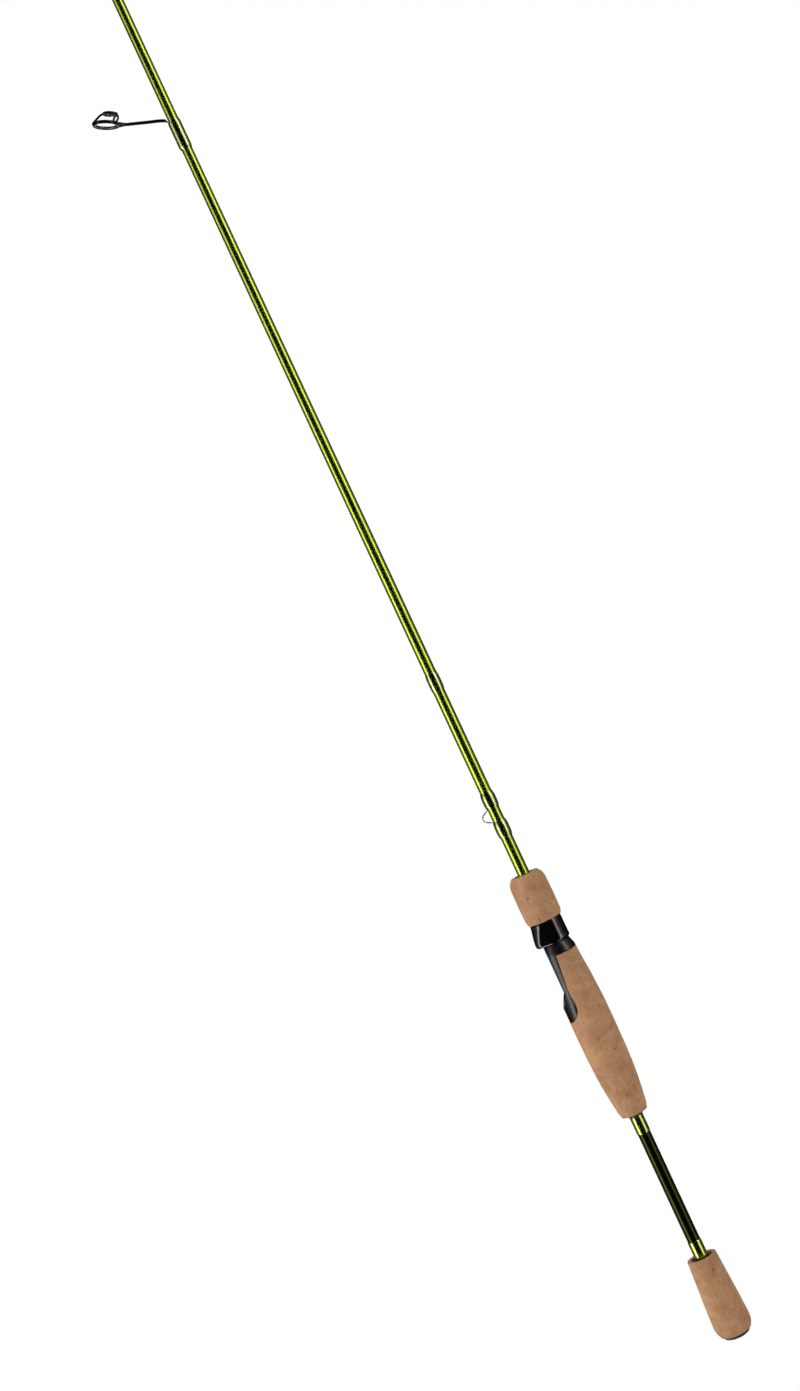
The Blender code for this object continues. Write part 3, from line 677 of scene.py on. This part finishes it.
def cork_edge(gap=0.0):
    """The line where the cork meets the seat, as (x, z): its first corner, then a smooth curve."""
    corner, *others = [(x + gap, 0.0, z - gap) for x, z in CORK_EDGE]
    return [corner[::2]] + [(point.x, point.z) for point in smooth_path(others, 6)]


def cork_ring(node, body, levels, bore, front=None, cut=False):
    """One cork ring with a grain and open pits. Front gives the radius and start of a second bore, if any."""
    low, high = span_of(node)
    low -= GLUE_REACH if low > levels[0][0] + GAP else 0.0
    high += GLUE_REACH if high < levels[-1][0] - GAP else 0.0
    inside = [(bore, low), (bore, high)]
    if front:
        inside = [(bore, low), (bore, front[1]), front, (front[0], high)]
    steps = max(8, int((high - low) / CORK_STEP))
    heights = np.linspace(low + CORK_EDGE_ROUND, high - CORK_EDGE_ROUND, steps)
    outside = [(rounded_radius_at(levels, low) - CORK_EDGE_ROUND, low)]
    outside += [(rounded_radius_at(levels, height), height) for height in heights]
    outside += [(rounded_radius_at(levels, high) - CORK_EDGE_ROUND, high)]
    ring = turned(f"{node}_grain", outside + inside[::-1], CORK_SIDES)
    if cut:
        edge = cork_edge(GAP)
        outline = edge + [(edge[-1][0], 0.30), (edge[0][0], 0.30)]
        combine(ring, prism("cork_cutter", outline, 0.03), "DIFFERENCE")
        ring.data.shade_smooth()
        ring.data.set_sharp_from_angle(angle=math.radians(35.0))
    weather_cork(ring, node, levels)
    dress(ring, body, "cork", node)


def weather_cork(ring, node, levels):
    """Sink the pits and raise the grain on the outside, and store the tone and the pits' darkening, partly
    painted shade, for the material.
    """
    chance = random.Random(node)
    mesh = ring.data
    points = np.array([vert.co for vert in mesh.vertices])
    radius = np.hypot(points[:, 0], points[:, 1])
    skin = np.array([value_at(levels, height) for height in points[:, 2]])
    outer = np.clip((radius - skin + 0.0008) / 0.0005, 0.0, 1.0)
    low, high = points[:, 2].min(), points[:, 2].max()
    depth = np.zeros(len(points))
    shade = np.zeros(len(points))
    angle = np.arctan2(points[:, 1], points[:, 0])
    for _ in range(CORK_PITS):
        place = chance.uniform(-math.pi, math.pi)
        height = chance.uniform(low, high)
        wide = chance.choice((0.00025, 0.00035, 0.00045, 0.0007))
        tall = wide * chance.uniform(0.5, 2.2)
        sink = wide * chance.uniform(0.25, 0.6)
        around = (np.mod(angle - place + math.pi, 2.0 * math.pi) - math.pi) * radius
        near = (around / wide) ** 2 + ((points[:, 2] - height) / tall) ** 2
        depth += sink * np.exp(-near ** 2)
        # The pits' darkening, partly darker cork and partly painted shade, strongest at each pit's middle.
        shade = np.maximum(shade, chance.uniform(0.35, 0.75) * np.exp(-near ** 1.5))
    ripple = np.sin(points @ np.array([2300.0, 1900.0, 2700.0]))
    ripple *= np.sin(points @ np.array([1100.0, -2100.0, 1700.0]))
    ripple += 0.7 * np.sin(points @ np.array([-3900.0, 3100.0, 2500.0]))
    move = (CORK_GRAIN * ripple - np.minimum(depth, 0.0006)) * outer
    keep = np.maximum(radius, 0.0001)
    points[:, 0] += points[:, 0] / keep * move
    points[:, 1] += points[:, 1] / keep * move
    mesh.vertices.foreach_set("co", points.ravel().astype(np.float32))
    for name, values in (("tone", np.full(len(points), chance.random())), ("pit_tint_and_shade", shade * outer)):
        stored = mesh.attributes.new(name, "FLOAT", "POINT")
        stored.data.foreach_set("value", values.astype(np.float32))
    mesh.update()


def build_grips():
    """Butt grip, rear grip and fore grip, ring by ring."""
    check_low, check_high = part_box("butt_grip_check")
    recess = check_high.x + GAP
    seat = check_low.z - GAP
    butt = [f"butt_grip_cork_{i}" for i in range(1, 5)]
    levels = stations(*butt, bores=(CORK_BORE, recess))
    for node in butt[:-1]:
        cork_ring(node, "butt_section", levels, CORK_BORE)
    cork_ring(butt[-1], "butt_section", levels, CORK_BORE, (recess, seat))

    rear = [f"rear_grip_cork_{i}" for i in range(1, 10)]
    levels = stations(*rear)
    seat_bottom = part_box("reel_seat")[0].z
    for node in rear:
        low, high = span_of(node)
        radius = BARREL_RADIUS + GAP if low > seat_bottom - 0.002 else CORK_BORE
        cork_ring(node, "butt_section", levels, radius, cut=high > FIXED_HOOD_BOTTOM)

    over_nut = packed("lock_nut")[:, 0].max() + GAP
    over_collar = NUT_COLLAR + GAP
    fore = [f"fore_grip_cork_{i}" for i in range(1, 4)]
    levels = stations(*fore, bores=(over_nut, over_collar))
    for node in fore[:-1]:
        cork_ring(node, "fore_grip", levels, over_nut)
    cork_ring(fore[-1], "fore_grip", levels, over_nut, (over_collar, NUT_SHOULDER + GAP))


# ---- butt end

def build_butt():
    """Butt cap with moulded rings, the checks and the two trim bands."""
    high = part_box("butt_cap")[1]
    rim = high.x
    thickness = 0.0027
    outline = [(0.0, 0.0), (0.0018, 0.0), (0.0022, 0.0003), (0.0030, 0.0003), (0.0034, 0.0), (0.0046, 0.0),
               (0.0049, 0.0002), (0.0053, 0.0002), (0.0056, 0.0), (0.0072, 0.0002), (rim - 0.0006, 0.0009),
               (rim, 0.0018), (rim, thickness), (0.0031, thickness), (0.0031, high.z - 0.0006),
               (0.0026, high.z), (0.0, high.z)]
    dress(turned("butt_cap_rubber", soften(outline, 0.00025)), "butt_section", "rubber_black", "butt_cap")
    sleeve("butt_grip_check", "butt_section", "rubber_black", 0.0006)
    sleeve("rear_grip_check", "butt_section", "rubber_black", 0.0006)
    levels = stations("butt_blank")
    for node in ("lower_trim_band", "upper_trim_band"):
        winding(node, "butt_section", levels, 0.0007, None, "chartreuse_trim")


# ---- reel seat

def cylinder(name, radius, low, high):
    """A closed cylinder, for building up and cutting the reel seat."""
    return turned(name, [(0.0, low), (radius, low), (radius, high), (0.0, high)], SEAT_SIDES)


def build_seat():
    """Saddle with the flat bed, neck and fixed hood, then the threaded barrel."""
    low, high = span_of("reel_seat")
    seat = turned("seat_saddle", [(0.0, low), (BARREL_RADIUS, low), (BARREL_RADIUS, NECK[0] - 0.0001),
                                  (SEAT_RADIUS - 0.0002, NECK[0]), (SEAT_RADIUS, NECK[0] + 0.0003),
                                  (SEAT_RADIUS - 0.0004, NECK[0] + 0.0022),
                                  (NECK_TOP_RADIUS + 0.0003, NECK[1] - 0.0016),
                                  (NECK_TOP_RADIUS, NECK[1] - 0.0006), (NECK_TOP_RADIUS - 0.0004, NECK[1]),
                                  (0.0, NECK[1])], SEAT_SIDES)
    saddle = turned("saddle", [(0.0, SADDLE[0][0])] + [(radius, height) for height, radius in SADDLE]
                    + [(0.0, SADDLE[-1][0])], SEAT_SIDES)
    skirt = FIXED_HOOD_BOTTOM - 0.0010
    hood = turned("hood", [(0.0, skirt), (FIXED_HOOD_RADIUS, skirt),
                           (FIXED_HOOD_RADIUS, BED_BOTTOM - 0.0050), (FIXED_HOOD_RADIUS - 0.0006, BED_BOTTOM),
                           (0.0, BED_BOTTOM)], SEAT_SIDES)
    combine(saddle, hood, "UNION")
    edge = cork_edge()
    back = edge + [(edge[-1][0], 0.30), (0.03, 0.30), (0.03, 0.20), (-0.03, 0.20)]
    combine(saddle, prism("back", back, 0.03), "DIFFERENCE")
    combine(seat, saddle, "UNION")

    slope = box_mesh("slope", (-0.03, -0.03, 0.0), (0.0, 0.03, 0.02))
    turn = Matrix.Rotation(HOOD_MOUTH_SLOPE, 4, "Y")
    slope.data.transform(Matrix.Translation((BED_X + 0.0001, 0.0, BED_BOTTOM + 0.0003)) @ turn)
    pocket_top = BED_BOTTOM + 0.0011
    pocket = turned("pocket", [(0.0, FIXED_POCKET_BOTTOM), (HOOD_POCKET_RADIUS - 0.0006, FIXED_POCKET_BOTTOM),
                               (HOOD_POCKET_RADIUS, FIXED_POCKET_BOTTOM + 0.002),
                               (HOOD_POCKET_RADIUS, pocket_top), (0.0, pocket_top)], SEAT_SIDES)
    combine(pocket, box_mesh("floor", (POCKET_X, -0.03, 0.20), (0.03, 0.03, 0.30)), "DIFFERENCE")
    bed = box_mesh("bed", (-0.03, -0.03, BED_BOTTOM - 0.0001), (BED_X, 0.03, NECK[1] + 0.002))
    for cutter in (pocket, bed, slope):
        combine(seat, cutter, "DIFFERENCE")
    combine(seat, cylinder("bore", SEAT_BORE, 0.20, 0.34), "DIFFERENCE")
    eased(seat, 0.00022, 32.0)
    dress(seat, "butt_section", "seat_black", "reel_seat")

    steps = 8
    rows = int((high - NECK[1] + 0.0010) / THREAD_PITCH * steps)
    turn = np.linspace(-math.pi, math.pi, SEAT_SIDES, endpoint=False)
    outer = np.zeros((rows, SEAT_SIDES, 3))
    for i, height in enumerate(np.linspace(NECK[1] - 0.0010, high, rows)):
        phase = np.mod(height / THREAD_PITCH - turn / (2.0 * math.pi), 1.0)
        tooth = np.clip(1.6 * np.abs(2.0 * phase - 1.0) - 0.3, 0.0, 1.0)
        radius = BARREL_RADIUS - THREAD_DEPTH * tooth
        radius -= 0.0005 * max(0.0, 1.0 - (high - height) / 0.0008)
        groove = np.abs(turn) * BARREL_RADIUS < KEY_WIDTH / 2 + GAP
        radius = np.where(groove, BARREL_RADIUS - KEY_DEPTH - GAP, radius)
        outer[i] = level_ring(radius, turn, height)
    inner = outer[::-1][:: rows - 1].copy()
    spread = np.hypot(inner[:, :, 0], inner[:, :, 1])
    inner[:, :, 0] *= SEAT_BORE / spread
    inner[:, :, 1] *= SEAT_BORE / spread
    barrel = lattice("seat_barrel_thread", np.concatenate((outer, inner)), True, 30.0)
    dress(barrel, "butt_section", "seat_black", "reel_seat")


def build_hood():
    """Sliding hood: a gloss collar that bulges over the reel's foot on one side."""
    low, high = span_of("sliding_hood")
    hood = hood_shell("sliding_hood_shell", low, high)
    combine(hood, cylinder("bore", BARREL_RADIUS + GAP, 0.27, 0.31), "DIFFERENCE")
    top = low + HOOD_POCKET_DEPTH
    pocket = hood_shell("pocket", low - 0.01, top, HOOD_WALL)
    combine(pocket, box_mesh("back", (-0.0072, -0.03, 0.26), (0.03, 0.03, 0.31)), "DIFFERENCE")
    combine(hood, pocket, "DIFFERENCE")
    key = box_mesh("key", (BARREL_RADIUS - KEY_DEPTH, -KEY_WIDTH / 2, low + 0.001),
                   (BARREL_RADIUS + 0.001, KEY_WIDTH / 2, high - 0.001))
    combine(hood, key, "UNION")
    eased(hood, 0.00015, 45.0)
    dress(hood, "sliding_hood", "hood_black", "sliding_hood")


def hood_shell(name, low, high, inset=0.0):
    """The hood's outside, level by level: a round collar, drawn out over the foot with two corners."""
    share_at = [(0.0, 1.0), (0.0030, 1.0), (0.0060, 0.80), (0.0095, 0.48), (0.0128, 0.14), (0.0152, 0.0)]
    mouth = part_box("sliding_hood")[0].z
    steps = 30
    sections = []
    for i in range(steps + 1):
        height = low + (high - low) * i / steps
        up = height - mouth
        share = value_at(share_at, up)
        ends = 0.0
        if not inset:
            ends = 0.0009 * max(0.0, 1.0 - up / 0.0016) ** 2
            ends += 0.0005 * max(0.0, 1.0 - (high - height) / 0.0010) ** 2
        lip = 0.0002 * math.exp(-((up - 0.0014) / 0.0009) ** 2)
        round_radius = HOOD_RADIUS - 0.0003 + lip - 0.5 * ends - inset
        crown = HOOD_RADIUS - 0.0001 + (HOOD_FLARE_RADIUS - HOOD_RADIUS) * share - ends - inset
        corner = (HOOD_RADIUS - 0.0004 - HOOD_CORNER_PULL * share) - 0.5 * ends - inset
        spread = HOOD_CORNER_SPREAD * share
        sections.append(hull_section(height, round_radius, crown, corner, spread))
    bottom, top = [level_ring(0.0, np.zeros(SEAT_SIDES), height) for height in (low, high)]
    return lattice(name, np.array([bottom] + sections + [top]), False)


def hull_section(height, round_radius, crown, corner, spread):
    """One level of the hood: the hull of a circle about the axis and of two smaller ones near the foot."""
    reach = crown - corner
    discs = [(0.0, 0.0, round_radius), (-reach, spread, corner), (-reach, -spread, corner)]
    row = []
    for k in range(SEAT_SIDES):
        turn = 2.0 * math.pi * k / SEAT_SIDES
        ux, uy = math.cos(turn), math.sin(turn)
        x, y, radius = max(discs, key=lambda disc: disc[0] * ux + disc[1] * uy + disc[2])
        row.append((x + radius * ux, y + radius * uy, height))
    return np.array(row)


def build_nut():
    """Lock nut: a threaded sleeve glued in the fore grip, with a collar that shows at its front."""
    low, high = span_of("lock_nut")
    outer = packed("lock_nut")[:, 0].max()
    bore = BARREL_RADIUS + GAP
    wide = BARREL_RADIUS + 0.0009
    web = NUT_SHOULDER - NUT_WEB
    outline = [(bore + 0.0006, low), (outer, low), (outer, NUT_SHOULDER), (NUT_COLLAR, NUT_SHOULDER),
               (NUT_COLLAR, high), (NUT_COLLAR_BORE, high), (NUT_COLLAR_BORE, web), (wide, web),
               (wide, NUT_THREAD_TOP), (bore, NUT_THREAD_TOP - 0.0006), (bore, low + 0.0006)]
    dress(turned("lock_nut_sleeve", soften(outline, 0.0003)), "fore_grip", "nut_black", "lock_nut")


# ---- keeper and guides

def build_keeper():
    """Hook keeper of drawn wire, its two windings and the trim winding further up."""
    rear_high = span_of("keeper_rear_winding")[1]
    front_low = span_of("keeper_front_winding")[0]
    levels = stations("butt_blank")
    blank = value_at(levels, KEEPER_LEVEL)
    foot_depth = 0.0002
    foot_x = -(blank + THIN_GAP + foot_depth)
    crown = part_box("hook_keeper")[0].x + KEEPER_WIRE
    corners = [(foot_x, 0.0, rear_high - 0.0080), (foot_x, 0.0, rear_high - 0.0006), (foot_x, 0.0, rear_high),
               (crown + 0.0014, 0.0, rear_high + 0.0016), (crown, 0.0, rear_high + 0.0031),
               (crown, 0.0, front_low - 0.0031), (crown + 0.0014, 0.0, front_low - 0.0016),
               (foot_x, 0.0, front_low), (foot_x, 0.0, front_low + 0.0006), (foot_x, 0.0, front_low + 0.0080)]
    wire = sweep("hook_keeper_wire", smooth_path(corners, 8), growing(foot_x, 0.0007, KEEPER_WIRE),
                 growing(foot_x, foot_depth, KEEPER_WIRE))
    dress(wire, "butt_section", "steel_wire", "hook_keeper")
    for node in ("keeper_rear_winding", "keeper_front_winding"):
        winding(node, "butt_section", levels, 0.0042, 0.0008)
    winding("trim_winding", "butt_section", levels, 0.0045)


def hoop(name, place, inner, outer, half, sides=96):
    """A guide's frame ring, with a rounded section."""
    outline = []
    for k in range(16):
        turn = 2.0 * math.pi * k / 16
        middle = (inner + outer) / 2
        outline.append((middle + (outer - inner) / 2 * math.cos(turn), half * math.sin(turn)))
    made = turned(name, outline, sides)
    made.data.transform(place)
    return made


def ring_insert(node, body, wall=FRAME_WALL):
    """Polished ring, flat outside and with a rounded lip inside; gives its place and its hoop's radius."""
    place, corner = ring_place(node)
    outer = (corner ** 2 - RING_HALF_HEIGHT ** 2) ** 0.5
    width = max(0.0006, 0.13 * (outer + 0.0008))
    half = 0.0009
    outline = [(outer, -half * 0.85), (outer, half * 0.85)]
    for k in range(13):
        turn = math.pi * k / 12
        bulge = (width - 0.0002) * math.sin(turn) ** 0.8 if 0 < k < 12 else 0.0
        outline.append((outer - 0.0002 - bulge, half * math.cos(turn)))
    ring = turned(f"{node}_polished", outline, 96, 50.0)
    ring.data.transform(place)
    dress(ring, body, "ring_ceramic", node)
    return place, outer + wall + THIN_GAP


def build_stripper():
    """Stripper guide: one foot, a forked leg, a large ring and a small one held ahead of it by three arms."""
    place, radius = ring_insert("stripper_ring", "butt_section", STRIPPER_WALL)
    choke_place, choke_hoop = ring_insert("choke_ring", "butt_section")

    levels = stations("butt_blank")
    winding_low, winding_high = span_of("stripper_winding")
    foot_x = value_at(levels, winding_low) + THIN_GAP + FOOT_DEPTH
    foot_z = winding_high + 0.0007
    large = hoop("large_hoop", place, radius - STRIPPER_WALL, radius + 0.0003, 0.0012)
    small = hoop("small_hoop", choke_place, choke_hoop - FRAME_WALL, choke_hoop + 0.0002, 0.0009)

    fork = place @ Vector((-radius - 0.0050, 0.0, 0.0))
    start = Vector((-foot_x, 0.0, winding_low + 0.0008))
    bend = Vector((-foot_x, 0.0, foot_z - 0.0008))
    knee = Vector((-foot_x - 0.0020, 0.0, foot_z + 0.0014))
    middle = (bend + fork) * 0.5 + Vector((0.0, 0.0, 0.0008))
    path = smooth_path([start, bend - Vector((0.0, 0.0, 0.001)), bend, knee, middle, fork], 10)
    parts = [large, small, sweep("leg", path, growing(-foot_x, 0.0011, STRIPPER_LEG),
                                 growing(-foot_x, FOOT_DEPTH, STRIPPER_LEG))]
    for side in (-1.0, 1.0):
        spread = math.radians(32.0) * side
        rim = radius - 0.0003
        end = Vector((-rim * math.cos(spread), rim * math.sin(spread), 0.0))
        way = [place @ Vector((-radius - 0.0064, side * 0.0002, 0.0)),
               place @ Vector((-radius - 0.0034, side * 0.0011, 0.0)), place @ end]
        parts.append(sweep("prong", smooth_path(way, 10), constant(0.0009), constant(0.0009)))
    arms = [[(0.0086, 0.0, 0.0001), (0.0083, 0.0, 0.0014), (0.0070, 0.0, 0.0028), (0.0052, 0.0, 0.0047),
             (0.0034, 0.0, 0.0064), (0.0019, 0.0, 0.0071)]]
    for side in (-1.0, 1.0):
        arms.append([(-0.0058, side * 0.0064, 0.0), (-0.0058, side * 0.0062, 0.0016),
                     (-0.0063, side * 0.0052, 0.0036), (-0.0074, side * 0.0038, 0.0053),
                     (-0.0072, side * 0.0023, 0.0068), (-0.0060, side * 0.0020, 0.0071)])
    for arm in arms:
        way = [place @ point for point in smooth_path(arm, 8)]
        parts.append(sweep("arm", way, constant(0.00072), constant(0.00072)))
    dress(welded("stripper_frame_wire", parts, WIRE_WELD), "butt_section", "frame_black", "stripper_frame")
    winding("stripper_winding", "butt_section", levels, 0.0026, 0.00055)


def build_running_guide(index):
    """One single-foot guide on the tip section, with its ring and winding."""
    name = f"guide_{index}"
    place, radius = ring_insert(f"{name}_ring", "tip_section")
    levels = stations("tip_blank")
    low, high = span_of(f"{name}_winding")
    blank = value_at(levels, low)
    foot_x = blank + THIN_GAP + FOOT_DEPTH
    foot_half_width = min(0.0009, 0.4 * blank)
    foot_z = high + 0.0016
    ring_hoop = hoop("ring_hoop", place, radius - FRAME_WALL, radius, 0.0007, 72)
    start = Vector((-foot_x, 0.0, low + 0.0010))
    bend = Vector((-foot_x, 0.0, foot_z - 0.0008))
    knee = Vector((-foot_x - 0.0012, 0.0, foot_z + 0.0006))
    end = place @ Vector((-radius + 0.0003, 0.0, 0.0))
    path = smooth_path([start, bend - Vector((0.0, 0.0, 0.001)), bend, knee, end], 8)
    leg = sweep("leg", path, constant(foot_half_width), growing(-foot_x, FOOT_DEPTH, 0.0005))
    guide = welded(f"{name}_frame_wire", [ring_hoop, leg], WIRE_WELD)
    dress(guide, "tip_section", "frame_black", f"{name}_frame")
    winding(f"{name}_winding", "tip_section", levels, 0.0015, 0.0004)


def build_tip_top():
    """Tip top: a cup over the blank's end, with the last ring brazed on it."""
    place, radius = ring_insert("tip_top_ring", "tip_section")
    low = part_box("tip_top_frame")[0].z
    high = TIP_TUBE_LENGTH + low
    levels = stations("tip_blank")
    bore = value_at(levels, low) + THIN_GAP
    outer = bore + 0.0004
    end = span_of("tip_blank")[1] + GAP
    outline = [(0.0, end), (bore, end), (bore, low), (outer, low), (outer, high - 0.0004),
               (outer - 0.0004, high), (0.0, high)]
    cup = turned("cup", soften(outline, 0.0002), 48)
    loop = hoop("loop", place, radius - FRAME_WALL, radius, 0.0007, 72)
    dress(welded("tip_top_frame_wire", [cup, loop], WIRE_WELD), "tip_section", "frame_black", "tip_top_frame")
    winding("tip_top_winding", "tip_section", levels, 0.0012)


# ---- studio

def soft_box(tree, turn, side, near, far, surround):
    """Brightness of one tall soft box along the azimuth: black in front, a faint surround beyond the box."""
    share = math_node(tree, "DIVIDE", math_node(tree, "MULTIPLY", turn, side), math.pi)
    return ramp(tree, share, [(0.0, 0.0), (near - 6.0 * BOX_RIM, 0.0), (near - BOX_RIM, 0.20), (near, 1.0),
                              (far, 1.0), (far + BOX_RIM, 0.20), (0.52, surround), (0.64, 0.3 * surround),
                              (0.74, 0.0), (0.86, 0.0), (0.95, BACK_GLOW)])


def build_world():
    """White surroundings; reflections see two tall soft boxes, a dark front and a faint glow behind."""
    world = bpy.data.worlds.new("studio")
    bpy.context.scene.world = world
    world.use_nodes = True
    world.cycles.sampling_method = "NONE"
    tree = world.node_tree
    tree.nodes.clear()
    output = tree.nodes.new("ShaderNodeOutputWorld")
    direction = tree.nodes.new("ShaderNodeTexCoord").outputs["Generated"]
    split = tree.nodes.new("ShaderNodeSeparateXYZ")
    tree.links.new(direction, split.inputs["Vector"])
    x, y, z = split.outputs
    turn = math_node(tree, "ARCTAN2", x, math_node(tree, "MULTIPLY", y, -1.0))
    rise = math_node(tree, "ADD", z, 0.5)
    left_fade = ramp(tree, rise, [(0.42, 1.0), (0.55, 0.80), (0.70, 0.44), (0.85, 0.26)])
    right_fade = ramp(tree, rise, [(0.36, 0.48), (0.52, 0.68), (0.66, 0.84), (0.85, 0.84)])
    left = mixed(tree, 1.0, soft_box(tree, turn, -1.0, *LEFT_BOX), left_fade, "MULTIPLY")
    right = mixed(tree, 1.0, soft_box(tree, turn, 1.0, *RIGHT_BOX), right_fade, "MULTIPLY")
    gloss = mixed(tree, 1.0, left, right, "ADD")
    around = math_node(tree, "ADD", math_node(tree, "DIVIDE", turn, 2.0 * math.pi), 0.5)
    fill = ramp(tree, around, [(0.0, 0.24), (0.16, 0.40), (0.24, 1.0), (0.34, 1.0), (0.40, 0.22),
                               (0.60, 0.20), (0.67, 0.38), (0.78, 0.42), (0.86, 0.28), (1.0, 0.24)])

    seen = background(tree, (1.0, 1.0, 1.0), 1.0)
    soft = background(tree, fill, SOFT_LIGHT)
    mirrored = background(tree, gloss, BOX_STRENGTH)
    path = tree.nodes.new("ShaderNodeLightPath")
    lit = mix_shaders(tree, path.outputs["Is Glossy Ray"], soft, mirrored)
    shown = mix_shaders(tree, path.outputs["Is Camera Ray"], lit, seen)
    tree.links.new(shown, output.inputs["Surface"])


def background(tree, colour, strength):
    """A background shader of a constant or linked colour."""
    node = tree.nodes.new("ShaderNodeBackground")
    if isinstance(colour, bpy.types.NodeSocket):
        tree.links.new(colour, node.inputs["Color"])
    else:
        node.inputs["Color"].default_value = (*colour, 1.0)
    node.inputs["Strength"].default_value = strength
    return node.outputs[0]


def mix_shaders(tree, factor, first, second):
    """The second shader where the factor is one."""
    node = tree.nodes.new("ShaderNodeMixShader")
    tree.links.new(factor, node.inputs[0])
    tree.links.new(first, node.inputs[1])
    tree.links.new(second, node.inputs[2])
    return node.outputs[0]


def build_floor():
    """A plain white floor that blends into the surroundings."""
    bm = bmesh.new()
    bmesh.ops.create_grid(bm, x_segments=2, y_segments=2, size=40.0)
    floor = from_bmesh("floor", bm)
    floor.location.z = -0.0005
    made = bpy.data.materials.new("white_floor")
    made.use_nodes = True
    tree = made.node_tree
    tree.nodes.clear()
    output = tree.nodes.new("ShaderNodeOutputMaterial")
    matt = tree.nodes.new("ShaderNodeBsdfDiffuse")
    matt.inputs["Color"].default_value = (0.85, 0.85, 0.85, 1.0)
    glow = tree.nodes.new("ShaderNodeEmission")
    path = tree.nodes.new("ShaderNodeLightPath")
    shown = mix_shaders(tree, path.outputs["Is Camera Ray"], matt.outputs[0], glow.outputs[0])
    tree.links.new(shown, output.inputs["Surface"])
    floor.data.materials.append(made)
    floor.visible_glossy = False


def build_camera():
    """The camera, level with the handle's front and rolled so that the rod leans to the left."""
    camera = bpy.data.objects.new("camera", bpy.data.cameras.new("camera"))
    bpy.context.scene.collection.objects.link(camera)
    camera.data.lens = CAMERA_LENS
    camera.data.sensor_width = CAMERA_SENSOR
    camera.data.clip_start = 0.01
    camera.data.clip_end = 100.0
    right = Vector((math.cos(CAMERA_ROLL), 0.0, -math.sin(CAMERA_ROLL)))
    up = Vector((math.sin(CAMERA_ROLL), 0.0, math.cos(CAMERA_ROLL)))
    back = right.cross(up)
    camera.matrix_world = Matrix.Translation(CAMERA_PLACE) @ Matrix((right, up, back)).transposed().to_4x4()
    bpy.context.scene.camera = camera
    bpy.context.scene.view_settings.view_transform = "Standard"


build_blanks()
build_butt()
build_grips()
build_seat()
build_hood()
build_nut()
build_keeper()
build_stripper()
for number in range(1, 7):
    build_running_guide(number)
build_tip_top()
winding("ferrule_winding", "tip_section", stations("tip_blank"), 0.0016)
for place in ("rear", "middle", "front"):
    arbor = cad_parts[f"seat_arbor_{place}"]
    arbor.data.materials.clear()
    arbor.data.materials.append(LOOKS["arbor_foam"])
build_world()
build_floor()
build_camera()
